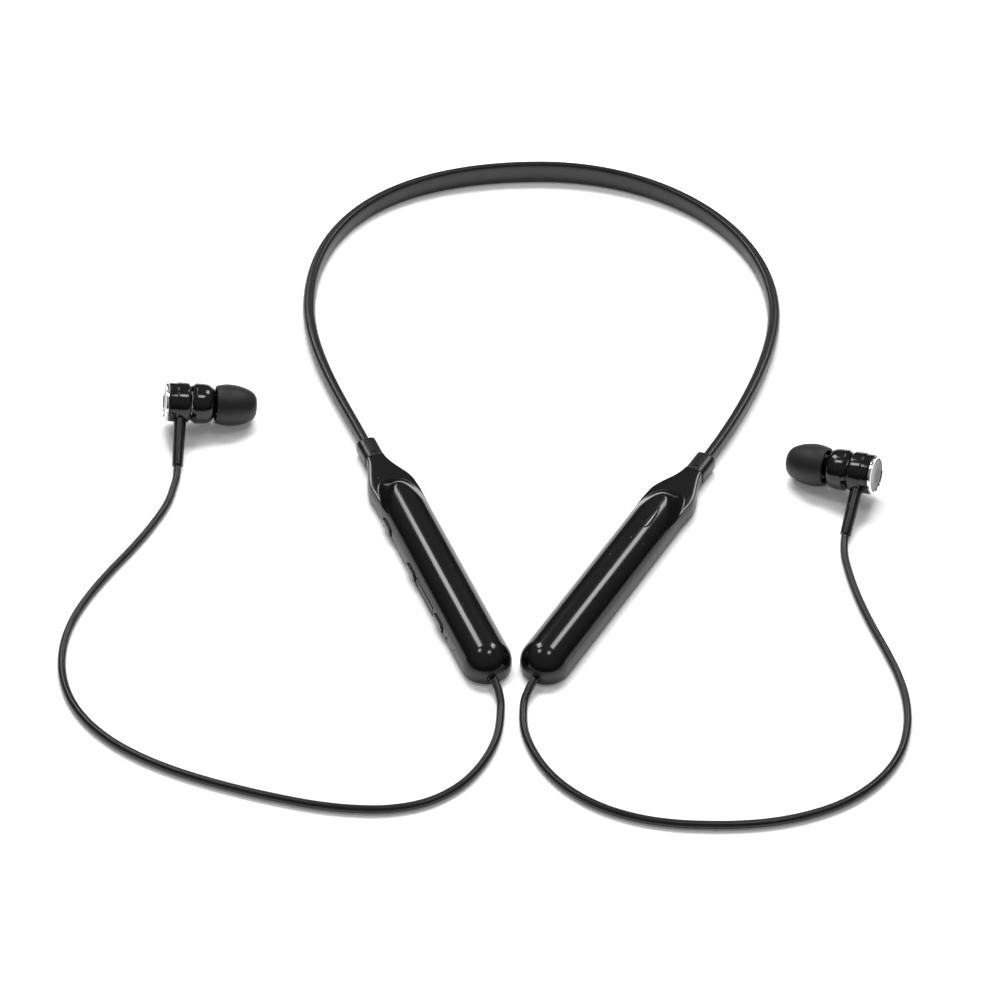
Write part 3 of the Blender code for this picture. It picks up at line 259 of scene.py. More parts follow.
def smooth_route(points, spacing):
    """Catmull-Rom curve through the points: on each span the cubic whose ends have the chord of
    their neighbours as direction, read again at one even spacing."""
    points = np.array([p if len(p) == 3 else (*p, CORD_LYING) for p in points])
    ends = np.vstack([2 * points[0] - points[1], points, 2 * points[-1] - points[-2]])
    before, start, end, after = ends[:-3], ends[1:-2], ends[2:-1], ends[3:]
    t = np.linspace(0, 1, CORD_SPAN_STEPS, endpoint=False)[None, :, None]
    before, start, end, after = (a[:, None, :] for a in (before, start, end, after))
    fine = 0.5 * (2 * start + (end - before) * t
                  + (2 * before - 5 * start + 4 * end - after) * t ** 2
                  + (3 * start - before - 3 * end + after) * t ** 3)
    fine = np.vstack([fine.reshape(-1, 3), points[-1:]])
    travelled = np.concatenate([[0], np.cumsum(np.linalg.norm(np.diff(fine, axis=0), axis=1))])
    stops = np.linspace(0, travelled[-1], int(round(travelled[-1] / spacing)) + 1)
    return np.column_stack([np.interp(stops, travelled, fine[:, k]) for k in range(3)])


for side, points in CORD_ROUTES.items():
    route = smooth_route(points, CORD_POINT_SPACING)
    line = bpy.data.curves.new(side + "_sheathed_cord", "CURVE")
    line.dimensions = "3D"
    line.bevel_depth = CORD_DIAMETER / 2
    line.bevel_resolution = 6
    line.use_fill_caps = True
    spline = line.splines.new("POLY")
    spline.points.add(len(route) - 1)
    spline.points.foreach_set("co", np.column_stack([route, np.ones(len(route))]).ravel())
    line.materials.append(cord_elastomer)
    cord = add_object(side + "_sheathed_cord", line)
    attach(cord, "neckband")
    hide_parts(side + "_cord")


# ================================================ neckband
# A sprung silicone band, moulded over a steel wire and the loom between the pods. It is a low
# soft-edged strip at the collars and stands up on edge, thin and tall, round the crown.
ARM_TIP = {"left": (-0.0079, -0.0905), "right": (0.0066, -0.0907)}
ARM_TURN = {"left": math.radians(-67.8), "right": math.radians(-120.7)}
ARM_LENGTH = 0.0815       # collar mouth to the middle of the pod's round end
OUTWARD_SIGN = {"left": -1, "right": 1}
NECK_SHIFT = 0.0008       # the collar sits this far outward of the pod's axis
NECK_SHIFT_START, NECK_SHIFT_END = 0.0100, 0.0240
BAND_CROWN = (0.0071, 0.0961)
BAND_BULGES = {"left": (-0.0566, 0.0408), "right": (0.0700, 0.0377)}
BAND_PULLS = {            # curve handles at the mouth, below and above the bulge, and at the crown
    "left": (0.0185, 0.0200, 0.0412, 0.0345), "right": (0.0197, 0.0180, 0.0350, 0.0335)}
BAND_INSERT = 0.0055      # length of band inside a collar
BAND_STATIONS = 110       # rings of points between two of the band's corner places
BAND_SECTIONS = {"crown": (0.0023, 0.0070), "bulge": (0.0033, 0.0048), "mouth": (0.0027, 0.0036)}
BAND_AXIS_HEIGHT = 0.0026
BAND_BORE = (0.0016, 0.0030)
BAND_SIDES, BAND_POWER, BORE_POWER = 56, 2.8, 2.4
WELD_REACH, SLIVER = 2e-6, 1e-6
CREASE = math.radians(35) # faces that meet more sharply than this show an edge

band_silicone = moulded_black("band_silicone", (0.0035, 0.0035, 0.004), 0.34, 0.44, (2500.0, 0.25),
                              dust=0.78)


def ease(value):
    """A smooth step: 3 t squared minus 2 t cubed, between 0 and 1."""
    t = np.clip(value, 0.0, 1.0)
    return t * t * (3 - 2 * t)


def on_arm(side, station, outward, height):
    """Points of an arm's own frame in the set's frame: the collar's mouth plus the station along
    the arm's heading plus the outward distance across it, at their heights."""
    turn = ARM_TURN[side]
    along = np.array((math.cos(turn), math.sin(turn)))
    across = OUTWARD_SIGN[side] * np.array((-along[1], along[0]))
    mouth = np.array(ARM_TIP[side]) - ARM_LENGTH * along
    station, outward, height = np.broadcast_arrays(station, outward, height)
    flat = mouth + station[..., None] * along + outward[..., None] * across
    return np.concatenate([flat, height[..., None]], axis=-1)


def rounded_ring(half_wide, half_tall, power, count):
    """Superellipse: |x/a| to the power plus |z/b| to the power equals one, by angle."""
    angle = np.linspace(0, 2 * math.pi, count, endpoint=False)
    c, s = np.cos(angle), np.sin(angle)
    return (half_wide * np.sign(c) * np.abs(c) ** (2 / power),
            half_tall * np.sign(s) * np.abs(s) ** (2 / power))


def finish_mesh(mesh, sliver):
    """Doubled points welded, edges shorter than a sliver dissolved, and smooth between creases."""
    work = bmesh.new()
    work.from_mesh(mesh)
    bmesh.ops.remove_doubles(work, verts=work.verts, dist=WELD_REACH)
    bmesh.ops.dissolve_degenerate(work, edges=work.edges, dist=sliver)
    work.to_mesh(mesh)
    work.free()
    mesh.shade_smooth()
    mesh.set_sharp_from_angle(angle=CREASE)


def worked_mesh(name, grid, material, loop_rows=False, caps=False):
    """A solid piece through a grid of points: each point joins its neighbours in the next row and
    column, the last column joins the first, and so does the last row if the rows loop. Caps close
    the end rings strip by strip, or only the first one where the last folds shut on itself. The
    faces turn outwards if six times the volume, the sum of each face's triple products, comes out
    negative."""
    rows, columns = grid.shape[:2]
    index = np.arange(rows * columns).reshape(rows, columns)
    rings = np.vstack([index, index[:1]]) if loop_rows else index
    rings = np.hstack([rings, rings[:, :1]])
    quads = [np.stack([rings[:-1, :-1], rings[:-1, 1:], rings[1:, 1:], rings[1:, :-1]],
                      -1).reshape(-1, 4)]
    if caps:
        near = np.arange(columns // 2 - 1 + columns % 2)
        far = columns - 1 - near
        first, last = index[0], index[-1]
        quads.append(np.stack([first[near + 1], first[near], first[far], first[far - 1]], -1))
        if caps != "first":
            quads.append(np.stack([last[near], last[near + 1], last[far - 1], last[far]], -1))
    quads = np.vstack(quads)
    points = grid.reshape(-1, 3)
    a, b, c, d = (points[quads[:, k]] - points.mean(0) for k in range(4))
    if np.einsum("ij,ij->", a, np.cross(b, c) + np.cross(c, d)) < 0:
        quads = quads[:, ::-1]
    mesh = bpy.data.meshes.new(name)
    mesh.vertices.add(len(points))
    mesh.vertices.foreach_set("co", points.ravel())
    mesh.loops.add(quads.size)
    mesh.loops.foreach_set("vertex_index", quads.ravel())
    mesh.polygons.add(len(quads))
    mesh.polygons.foreach_set("loop_start", np.arange(0, quads.size, 4))
    mesh.update(calc_edges=True)
    finish_mesh(mesh, SLIVER)
    if material:
        mesh.materials.append(material)
    return add_object(name, mesh)


def cubic(start, first_pull, last_pull, end):
    """Cubic Bezier curve: the four points weighted by the Bernstein shares of t, less its end."""
    t = np.linspace(0, 1, BAND_STATIONS, endpoint=False)[:, None]
    return ((1 - t) ** 3 * start + 3 * (1 - t) ** 2 * t * first_pull
            + 3 * (1 - t) * t * t * last_pull + t ** 3 * end)


def band_half(side):
    """One half of the band's line from its collar to the crown, in two Bezier curves."""
    ends = on_arm(side, np.array((0.0, 1.0)), NECK_SHIFT, 0.0)[:, :2]
    mouth, along = ends[0], ends[1] - ends[0]
    at_mouth, below, above, at_crown = BAND_PULLS[side]
    bulge, crown = np.array(BAND_BULGES[side]), np.array(BAND_CROWN)
    up, across = np.array((0.0, 1.0)), np.array((OUTWARD_SIGN[side], 0.0))
    return np.vstack([(mouth + along * BAND_INSERT)[None],
                      cubic(mouth, mouth - along * at_mouth, bulge - up * below, bulge),
                      cubic(bulge, bulge + up * above, crown + across * at_crown, crown)])


band_line = np.vstack([band_half("left"), np.array(BAND_CROWN)[None], band_half("right")[::-1]])
share = np.concatenate([[0], np.linspace(0, 4, 4 * BAND_STATIONS + 1), [4]])
to_crown, to_bulge = ease(1 - abs(share - 2)), ease(1 - abs(abs(share - 2) - 1))
to_mouth = np.maximum(0.0, 1 - to_crown - to_bulge)
thickness, height = (to_crown * BAND_SECTIONS["crown"][k] + to_bulge * BAND_SECTIONS["bulge"][k]
                     + to_mouth * BAND_SECTIONS["mouth"][k] for k in (0, 1))
band_middle = np.maximum(BAND_AXIS_HEIGHT, height / 2)
heading = np.gradient(band_line, axis=0)
heading /= np.linalg.norm(heading, axis=1)[:, None]
sideways = np.column_stack([-heading[:, 1], heading[:, 0]])


def band_skin(wide, tall, power):
    """The band's rings: a superellipse across the line at each station, at the band's height."""
    x, z = rounded_ring(1.0, 1.0, power, BAND_SIDES)
    flat = band_line[:, None, :] + (sideways[:, None, :] * (wide[:, None] / 2 * x)[..., None])
    rise = band_middle[:, None] + tall[:, None] / 2 * z
    return np.concatenate([flat, rise[..., None]], axis=-1)


outer_skin = band_skin(thickness, height, BAND_POWER)
bore_skin = band_skin(np.full_like(thickness, BAND_BORE[0]), np.full_like(height, BAND_BORE[1]),
                      BORE_POWER)
band = worked_mesh("silicone_band", np.concatenate([outer_skin, bore_skin[::-1]]), band_silicone,
                   loop_rows=True)
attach(band, "neckband")
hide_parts("neckband_sleeve")


# ================================================ collars
# A short satin tube moulded over each end of the band, with a rounded mouth and a small
# dimple on top where the moulding pin stood.
COLLAR_LENGTH, COLLAR_WIDTH, COLLAR_HEIGHT = 0.0070, 0.0055, 0.0051
COLLAR_ROUNDING = 0.0006
COLLAR_SIDES, COLLAR_POWER, COLLAR_BORE_POWER = 72, 3.2, 2.6
COLLAR_MARGIN, COLLAR_STEPS = 0.001, 12   # its straight run starts and ends this far in
DIMPLE_RADIUS, DIMPLE_DEPTH, DIMPLE_FROM_POD = 0.0006, 0.0004, 0.0011
FIT = 0.0003              # air left between two pieces that touch
CUT_SLIVER = 2e-6

satin_black = moulded_black("satin_black", (0.0045, 0.0045, 0.005), 0.30, 0.38, (2600.0, 0.35))


def carve(piece, *tools):
    """The piece less each tool, worked out at once with an exact boolean; the tools are removed."""
    for tool in tools:
        cut = piece.modifiers.new("cut", "BOOLEAN")
        cut.operation, cut.solver, cut.object = "DIFFERENCE", "EXACT", tool
    bpy.context.view_layer.update()
    worked_out = piece.evaluated_get(bpy.context.evaluated_depsgraph_get())
    solid, uncut = bpy.data.meshes.new_from_object(worked_out), piece.data
    piece.modifiers.clear()
    piece.data = solid
    bpy.data.meshes.remove(uncut)
    for tool in tools:
        bpy.data.objects.remove(tool)
    finish_mesh(solid, CUT_SLIVER)


def quarter_steps(count, size):
    """How far a rounded edge of this size has come in and gone along, over a quarter turn."""
    turn = np.linspace(0, math.pi / 2, count)
    return size * (1 - np.sin(turn)), size * (1 - np.cos(turn))


for side in ("left", "right"):
    back_in, back_along = quarter_steps(7, COLLAR_ROUNDING)
    front_in, front_along = quarter_steps(5, COLLAR_ROUNDING / 2)
    straight = np.linspace(COLLAR_MARGIN, COLLAR_LENGTH - COLLAR_MARGIN, COLLAR_STEPS)
    stations = np.concatenate([back_along, straight, (COLLAR_LENGTH - front_along)[::-1]])
    insets = np.concatenate([back_in, np.zeros(COLLAR_STEPS), front_in[::-1]])
    x, z = rounded_ring(1.0, 1.0, COLLAR_POWER, COLLAR_SIDES)
    outer = on_arm(side, stations[:, None],
                   NECK_SHIFT + (COLLAR_WIDTH / 2 - insets)[:, None] * x,
                   COLLAR_HEIGHT / 2 + (COLLAR_HEIGHT / 2 - insets)[:, None] * z)
    x, z = rounded_ring(BAND_SECTIONS["mouth"][0] / 2 + FIT, BAND_SECTIONS["mouth"][1] / 2 + FIT,
                        COLLAR_BORE_POWER, COLLAR_SIDES)
    bore = on_arm(side, np.array((COLLAR_LENGTH, 0.0))[:, None], NECK_SHIFT + x[None],
                  BAND_AXIS_HEIGHT + z[None])
    collar = worked_mesh(side + "_moulded_collar", np.concatenate([outer, bore]), satin_black,
                         loop_rows=True)
    angle, rise = np.linspace(0, 2 * math.pi, 32, endpoint=False), np.linspace(-1, 1, 17)
    reach = np.sqrt(1 - rise ** 2)[:, None] * DIMPLE_RADIUS
    ball = worked_mesh("dimple_tool", on_arm(
        side, COLLAR_LENGTH - DIMPLE_FROM_POD + reach * np.cos(angle),
        NECK_SHIFT + reach * np.sin(angle),
        COLLAR_HEIGHT + (rise * DIMPLE_DEPTH)[:, None] + 0 * angle), None)
    carve(collar, ball)
    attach(collar, "neckband")
    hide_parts(side + "_collar")


# ================================================ pods: lower shells
# Each pod's lower half is a satin injection-moulded tray with a rounded foot, whose sides stand
# upright and start to round over. The left one is pierced for buttons, port, microphone and light.
POD_WIDTH, POD_HEIGHT = 0.0126, 0.0084
SIDE_HEIGHT = 0.0024      # the sides stand upright to here
RIM_HEIGHT = 0.0046
SEAM_OVERLAP = 0.00011    # how far tray and cover each reach into the fit between them
NECK_WIDTH, NECK_TAPER_END = 0.0051, 0.0190
WALL, FLOOR = 0.0015, 0.0010
FOOT_RADIUS = 0.0012
CONTROL_LEVEL = 0.0026    # height of the middle of everything in the left pod's outer wall
BUTTON_STATIONS = {"volume_up": 0.0304, "multifunction": 0.0474, "volume_down": 0.0659}
BUTTON_LENGTH, BUTTON_HEIGHT, BUTTON_PROUD = 0.0056, 0.0024, 0.0004
PORT_STATION, FLAP_LENGTH, FLAP_HEIGHT, FLAP_THICKNESS = 0.0564, 0.0110, 0.0024, 0.0008
FLAP_CORNER, PORT_CORNER = 0.0004, 0.0005
PORT_LENGTH, PORT_HEIGHT, PORT_LEVEL = 0.0070, 0.0018, 0.0025
MICROPHONE_STATION, MICROPHONE_RADIUS = 0.0714, 0.00045
LIGHT_STATION, LIGHT_RADIUS = 0.0764, 0.0006
GLAND_LEVEL, GLAND_SHIFT, GLAND_RADIUS = 0.00275, 0.0009, 0.00105
MOUTH_CHAMFER, ROUND_CHAMFER = 0.00012, 0.00006   # how far a hole is opened at its mouth
OUTSIDE = 0.001           # how far outside its piece a cutting tool starts
GLAND_CUT = 0.003         # how far inside the nose the bush's cutting tool ends


def neck_shift(station):
    """How far the arm's middle lies outward of the pod's axis: fades out by the smooth step."""
    return NECK_SHIFT * (1 - ease((station - NECK_SHIFT_START)
                                  / (NECK_SHIFT_END - NECK_SHIFT_START)))


def half_width(station):
    """Half the lower shell's width: the neck's, plus the rest of the pod's by the smooth step."""
    return NECK_WIDTH / 2 + (POD_WIDTH - NECK_WIDTH) / 2 * ease(
        (station - COLLAR_LENGTH) / (NECK_TAPER_END - COLLAR_LENGTH))


def tray_ring(share, inset, end_inset):
    """The tray's outline from above, narrowed to a share of its width and set in: one side, the
    round end, and the other side back."""
    start = COLLAR_LENGTH + FIT + end_inset
    stations = np.concatenate([np.linspace(start, NECK_SHIFT_END, 42),
                               np.linspace(NECK_SHIFT_END, ARM_LENGTH, 60)[1:]])
    arc = np.linspace(math.pi / 2, -math.pi / 2, 50)[1:-1]
    radius = POD_WIDTH / 2 * share - inset
    across = half_width(stations) * share - inset
    return (np.concatenate([stations, ARM_LENGTH + radius * np.cos(arc), stations[::-1]]),
            np.concatenate([neck_shift(stations) + across, radius * np.sin(arc),
                            (neck_shift(stations) - across)[::-1]]))


def section_share(level):
    """Share of the pod's width at a level: root of one minus the square of the way from the
    upright sides to the crest."""
    return math.sqrt(1 - max(0.0, (level - SIDE_HEIGHT) / (POD_HEIGHT - SIDE_HEIGHT)) ** 2)


def make_tray(side):
    """A lower shell: its outline carried up the foot's quarter circle and the section's ellipse,
    over the rim and down inside to the floor."""
    rim = RIM_HEIGHT + SEAM_OVERLAP
    levels = [(1.0, FOOT_RADIUS * (1 - math.sin(t)), FOOT_RADIUS * (1 - math.cos(t)), 0.0)
              for t in np.linspace(0, math.pi / 2, 9)]
    levels += [(section_share(level), 0.0, level, 0.0)
               for level in np.linspace(SIDE_HEIGHT, rim, 10)]
    levels += [(1.0, WALL, rim, WALL), (1.0, WALL, FLOOR, WALL)]
    rings = []
    for share, inset, level, end_inset in levels:
        station, outward = tray_ring(share, inset, end_inset)
        rings.append(on_arm(side, station, outward, np.full_like(station, level)))
    return worked_mesh(side + "_satin_tray", np.array(rings), satin_black, caps=True)


def slot_outline(length, height, corner, grow, steps=10):
    """A rounded oblong: four quarter circles of the corner radius, grown outwards by an offset."""
    angle = np.linspace(0, math.pi / 2, steps)
    x = length / 2 - corner + (corner + grow) * np.cos(angle)
    z = height / 2 - corner + (corner + grow) * np.sin(angle)
    return (np.concatenate([x, -x[::-1], -x, x[::-1]]), np.concatenate([z, z[::-1], -z, -z[::-1]]))


def wall_ring(outline, station, level, inset):
    """An outline of (along, up) points stood on the left pod's outer wall, set in by the inset."""
    x, z = outline
    return on_arm("left", station + x, np.full_like(x, POD_WIDTH / 2 - inset), level + z)


def wall_tool(station, level, length, height, corner, depth, chamfer=MOUTH_CHAMFER):
    """A cutting tool for a hole in the left pod's outer wall: the oblong outline, wide outside the
    wall, drawn in over the chamfer at its face and straight down to the depth."""
    rings = [wall_ring(slot_outline(length, height, corner, grow), station, level, inset)
             for inset, grow in ((-OUTSIDE, chamfer), (0.0, chamfer), (chamfer, 0.0), (depth, 0.0))]
    return worked_mesh("wall_tool", np.array(rings), None, caps=True)


def round_wall_tool(station, radius, depth):
    """A round cutting tool for the same wall: circles, wider by the chamfer outside the wall."""
    angle = np.linspace(0, 2 * math.pi, 40, endpoint=False)
    rings = [wall_ring(((radius + grow) * np.cos(angle), (radius + grow) * np.sin(angle)),
                       station, CONTROL_LEVEL, inset)
             for inset, grow in ((-OUTSIDE, ROUND_CHAMFER), (0.00001, ROUND_CHAMFER),
                                 (ROUND_CHAMFER, 0.0), (depth, 0.0))]
    return worked_mesh("round_wall_tool", np.array(rings), None, caps=True)


def gland_tool(side):
    """A cutting tool for the round hole that the cord's bush sits in."""
    angle = np.linspace(0, 2 * math.pi, 40, endpoint=False)
    station = ARM_LENGTH + POD_WIDTH / 2 + np.array((-GLAND_CUT, OUTSIDE))
    radius = GLAND_RADIUS + FIT / 2
    return worked_mesh("gland_tool", on_arm(
        side, station[:, None], GLAND_SHIFT + radius * np.cos(angle),
        GLAND_LEVEL + radius * np.sin(angle)), None, caps=True)


for side in ("left", "right"):
    tray = make_tray(side)
    tools = [gland_tool(side)]
    if side == "left":
        through = 2 * WALL
        tools += [wall_tool(station, CONTROL_LEVEL, BUTTON_LENGTH + 2 * FIT,
                            BUTTON_HEIGHT + 2 * FIT, BUTTON_HEIGHT / 2 + FIT, through)
                  for station in BUTTON_STATIONS.values()]
        tools += [
            wall_tool(PORT_STATION, CONTROL_LEVEL, FLAP_LENGTH + 2 * FIT, FLAP_HEIGHT + 2 * FIT,
                      FLAP_CORNER, FLAP_THICKNESS + FIT),
            wall_tool(PORT_STATION, PORT_LEVEL, PORT_LENGTH, PORT_HEIGHT, PORT_CORNER, through, 0.0),
            round_wall_tool(MICROPHONE_STATION, MICROPHONE_RADIUS, through),
            round_wall_tool(LIGHT_STATION, LIGHT_RADIUS + FIT / 2, through)]
    carve(tray, *tools)
    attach(tray, "neckband")
    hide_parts(side + "_lower_shell")


# ================================================ pods: upper covers
# A high-gloss dome glued into each tray. It rises from a flat neck behind the collar, runs the
# pod's length and ends in a round nose. The right one has a leaf-shaped window beside its crest.
NECK_TOP = 0.0053
DOME_START, DOME_RISE, DOME_SWEEP = 0.0165, 0.0060, 0.0090
COVER_WALL = 0.0008
NECK_HOLLOW = 0.75        # most of the neck's rise that the inner skin may come down by
ARCH_COLUMNS, LEAF_STEPS = 73, 28
LEAF_PEAK = 0.385         # highest value of the leaf's formula
WINDOW_STATION, WINDOW_OFFSET = 0.0303, 0.0012
WINDOW_LENGTH, WINDOW_WIDTH, WINDOW_THICKNESS = 0.0083, 0.0015, 0.0006
WINDOW_CUT = 0.0025       # how far below the crest its opening is cut

gloss_black = moulded_black("gloss_black", (0.002, 0.002, 0.0023), 0.14, 0.18, (1500.0, 0.02),
                            dust=0.80, patch=60.0)


def cover_skin(side, inset):
    """The cover's arches. On the neck an arch is a flat-topped curve of root cosine and root sine;
    over the dome it eases into the section's ellipse, later at the sides than at the crest. Past
    the end's centre both halves of the arch swing round a quarter turn and meet."""
    dome_end = DOME_START + DOME_RISE + DOME_SWEEP
    body = np.concatenate([np.linspace(COLLAR_LENGTH + FIT, DOME_START, 20),
                           np.linspace(DOME_START, dome_end, 60)[1:],
                           np.linspace(dome_end, ARM_LENGTH, 120)[1:]])
    nose = np.linspace(math.pi / 2, 0, 34)[1:]
    station = np.concatenate([body, np.full_like(nose, ARM_LENGTH)])[:, None]
    fold = np.concatenate([np.full_like(body, math.pi / 2), nose])[:, None]
    foot = RIM_HEIGHT + FIT - SEAM_OVERLAP
    top = POD_HEIGHT - inset
    low = math.asin((foot - SIDE_HEIGHT) / (top - SIDE_HEIGHT))
    half = half_width(station) - inset
    share = np.linspace(0, 1, ARCH_COLUMNS)[None]
    c, s = np.cos(math.pi * share), np.abs(np.sin(math.pi * share))
    turn = low + (math.pi - 2 * low) * share
    risen = ease((station - DOME_START - DOME_SWEEP * c * c) / DOME_RISE)
    neck_y = half * math.cos(low) * np.sign(c) * np.sqrt(np.abs(c))
    y = neck_y + risen * (half * np.cos(turn) - neck_y)
    neck_z = foot + (NECK_TOP - foot - min(inset, NECK_HOLLOW * (NECK_TOP - foot))) * np.sqrt(s)
    z = neck_z + risen * (SIDE_HEIGHT + (top - SIDE_HEIGHT) * np.sin(turn) - neck_z)
    return on_arm(side, station + np.abs(y) * np.cos(fold),
                  neck_shift(station) + y * np.sin(fold), z)


def leaf_half(share):
    """Half width of the leaf at a share s of its length: root of s, times one minus s, over its
    highest value."""
    return np.sqrt(share) * (1 - share) / LEAF_PEAK


def leaf_outline(length, width):
    """The leaf's outline about its middle, round at the nose end and pointed at the collar end."""
    share = np.linspace(0, 1, LEAF_STEPS) ** 1.5
    station = (0.5 - share) * length
    half = width / 2 * leaf_half(share)
    return np.concatenate([station, station[-2:0:-1]]), np.concatenate([half, -half[-2:0:-1]])


for side in ("left", "right"):
    skins = np.concatenate([cover_skin(side, 0.0), cover_skin(side, COVER_WALL)[:, ::-1]], axis=1)
    cover = worked_mesh(side + "_gloss_cover", skins, gloss_black, caps="first")
    if side == "right":
        x, y = leaf_outline(WINDOW_LENGTH + 2 * FIT, WINDOW_WIDTH + FIT)
        levels = np.array((POD_HEIGHT - WINDOW_CUT, POD_HEIGHT + OUTSIDE))
        carve(cover, worked_mesh("window_tool", on_arm(
            side, WINDOW_STATION + x[None], WINDOW_OFFSET + y[None], levels[:, None] + 0 * x),
            None, caps=True))
    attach(cover, "neckband")
    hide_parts(side + "_upper_cover")


# ================================================ status window
# A slender leaf of smoked acrylic let into the right cover, flush with the dome, that the charge
# light shines through.
PILLOW_RISE, PILLOW_SINK = 0.00008, 0.00006   # how far its middle swells, less how low it sits

smoked_acrylic = moulded_black("smoked_acrylic", (0.016, 0.018, 0.020), 0.04, 0.07,
                               (1500.0, 0.02), dust=0.85)

across = np.linspace(-1, 1, 15)
share = np.linspace(0, 1, 48) ** 1.5
station = WINDOW_STATION + (0.5 - share[:, None]) * WINDOW_LENGTH + 0 * across
outward = WINDOW_OFFSET + WINDOW_WIDTH / 2 * leaf_half(share)[:, None] * across
surface = SIDE_HEIGHT + (POD_HEIGHT - SIDE_HEIGHT) * np.sqrt(1 - (2 * outward / POD_WIDTH) ** 2)
pillow = PILLOW_RISE * (1 - across ** 2)[None] - PILLOW_SINK
lens = worked_mesh("smoked_window", np.concatenate(
    [on_arm("right", station, outward, surface + pillow),
     on_arm("right", station, outward, surface - WINDOW_THICKNESS)[:, ::-1]],
    axis=1), smoked_acrylic)
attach(lens, "neckband")
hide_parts("status_window")


# ================================================ cord bushes
# A soft round bush with an inner flange, pulled into the end of each tray from inside; the cord
# leaves through it.
GLAND_FLANGE_RADIUS, GLAND_FLANGE_THICKNESS, GLAND_BORE = 0.0014, 0.0006, 0.0006


def turned_rings(profile, sides):
    """A profile of (radius, height) points turned about its axis: rings in the axis's own frame."""
    radius, height = np.array(profile).T
    angle = np.linspace(0, 2 * math.pi, sides, endpoint=False)
    return np.stack([radius[:, None] * np.cos(angle), radius[:, None] * np.sin(angle),
                     height[:, None] + 0 * angle], axis=-1)


def filleted(profile, radii, steps=5):
    """A closed or open profile with its corners rounded: near each corner the quadratic curve from
    a point one radius before it to one radius after it. A radius of zero keeps the corner."""
    profile = np.array(profile, float)
    t = np.linspace(0, 1, steps + 1)[:, None]
    rounded = []
    befores, afters = np.roll(profile, 1, 0), np.roll(profile, -1, 0)
    for before, corner, after, radius in zip(befores, profile, afters, radii):
        if radius == 0:
            rounded.append(corner[None])
            continue
        back, on = before - corner, after - corner
        back *= min(radius / np.linalg.norm(back), 0.5)
        on *= min(radius / np.linalg.norm(on), 0.5)
        rounded.append(corner + back * (1 - t) ** 2 + on * t ** 2)
    return np.vstack(rounded)


for side in ("left", "right"):
    face = ARM_LENGTH + POD_WIDTH / 2
    reach = math.sqrt((POD_WIDTH / 2 - WALL) ** 2 - (GLAND_SHIFT + GLAND_FLANGE_RADIUS) ** 2)
    inner = ARM_LENGTH + reach - FIT - GLAND_FLANGE_THICKNESS
    profile = filleted([(GLAND_BORE, face - inner), (GLAND_RADIUS, face - inner),
                        (GLAND_RADIUS, GLAND_FLANGE_THICKNESS),
                        (GLAND_FLANGE_RADIUS, GLAND_FLANGE_THICKNESS),
                        (GLAND_FLANGE_RADIUS, 0.0), (GLAND_BORE, 0.0)],
                       (0.0001, 0.0003, 0.0001, 0.0001, 0.0001, 0.0))
    rings = turned_rings(profile, 40)
    bush = worked_mesh(side + "_cord_bush", on_arm(
        side, inner + rings[..., 2], GLAND_SHIFT + rings[..., 0], GLAND_LEVEL + rings[..., 1]),
        cord_elastomer, loop_rows=True)
    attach(bush, "neckband")
    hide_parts(side + "_cord_gland")


# ================================================ buttons
# Three oblong keys stand a little proud of the left pod's outer wall, each held by a flange
# inside it and returned by the switch behind it.
BUTTON_EDGE = 0.00025
BUTTON_CORNER = BUTTON_HEIGHT / 2 - 1e-5
FLANGE_LENGTH, FLANGE_THICKNESS, FLANGE_HEIGHT, FLANGE_CORNER = 0.0076, 0.0005, 0.0018, 0.0003

button_black = moulded_black("button_black", (0.004, 0.004, 0.0045), 0.16, 0.24, (2600.0, 0.12))

for name, station in BUTTON_STATIONS.items():
    edge_in, edge_along = quarter_steps(7, BUTTON_EDGE)
    rings = [wall_ring(slot_outline(BUTTON_LENGTH, BUTTON_HEIGHT, BUTTON_CORNER, -shrink),
                       station, CONTROL_LEVEL, inset)
             for inset, shrink in [*zip(edge_along - BUTTON_PROUD, edge_in), (WALL + FIT, 0.0)]]
    rings += [wall_ring(slot_outline(FLANGE_LENGTH, FLANGE_HEIGHT, FLANGE_CORNER, 0.0),
                        station, CONTROL_LEVEL, inset)
              for inset in (WALL + FIT, WALL + FIT + FLANGE_THICKNESS)]
    key = worked_mesh(name + "_key", np.array(rings), button_black, caps=True)
    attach(key, "button_" + name)
    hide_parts("button_" + name)


# ================================================ charging port flap
# A soft silicone flap closes the charging port. It lies flush in its recess, hinged at the end
# nearer the pod's nose, and has a shallow nail lip at the other.
FLAP_EDGE = 0.0002
NAIL_LENGTH, NAIL_HEIGHT, NAIL_CORNER, NAIL_DEPTH = 0.0004, 0.0014, 0.00019, 0.0002
NAIL_FROM_END, NAIL_OUTSIDE = 0.0009, 0.0005

flap_silicone = moulded_black("flap_silicone", (0.0045, 0.0045, 0.005), 0.40, 0.48, (2600.0, 0.3))

edge_in, edge_along = quarter_steps(6, FLAP_EDGE)
rings = [wall_ring(slot_outline(FLAP_LENGTH, FLAP_HEIGHT, FLAP_CORNER, -shrink),
                   PORT_STATION, CONTROL_LEVEL, inset)
         for inset, shrink in [*zip(edge_along, edge_in),
                               *zip(FLAP_THICKNESS - edge_along[::-1], edge_in[::-1])]]
flap = worked_mesh("silicone_flap", np.array(rings), flap_silicone, caps=True)
nail = [wall_ring(slot_outline(NAIL_LENGTH, NAIL_HEIGHT, NAIL_CORNER, 0.0),
                  PORT_STATION - FLAP_LENGTH / 2 + NAIL_FROM_END, CONTROL_LEVEL, inset)
        for inset in (-NAIL_OUTSIDE, NAIL_DEPTH)]
carve(flap, worked_mesh("nail_tool", np.array(nail), None, caps=True))
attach(flap, "flap")
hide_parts("port_flap")


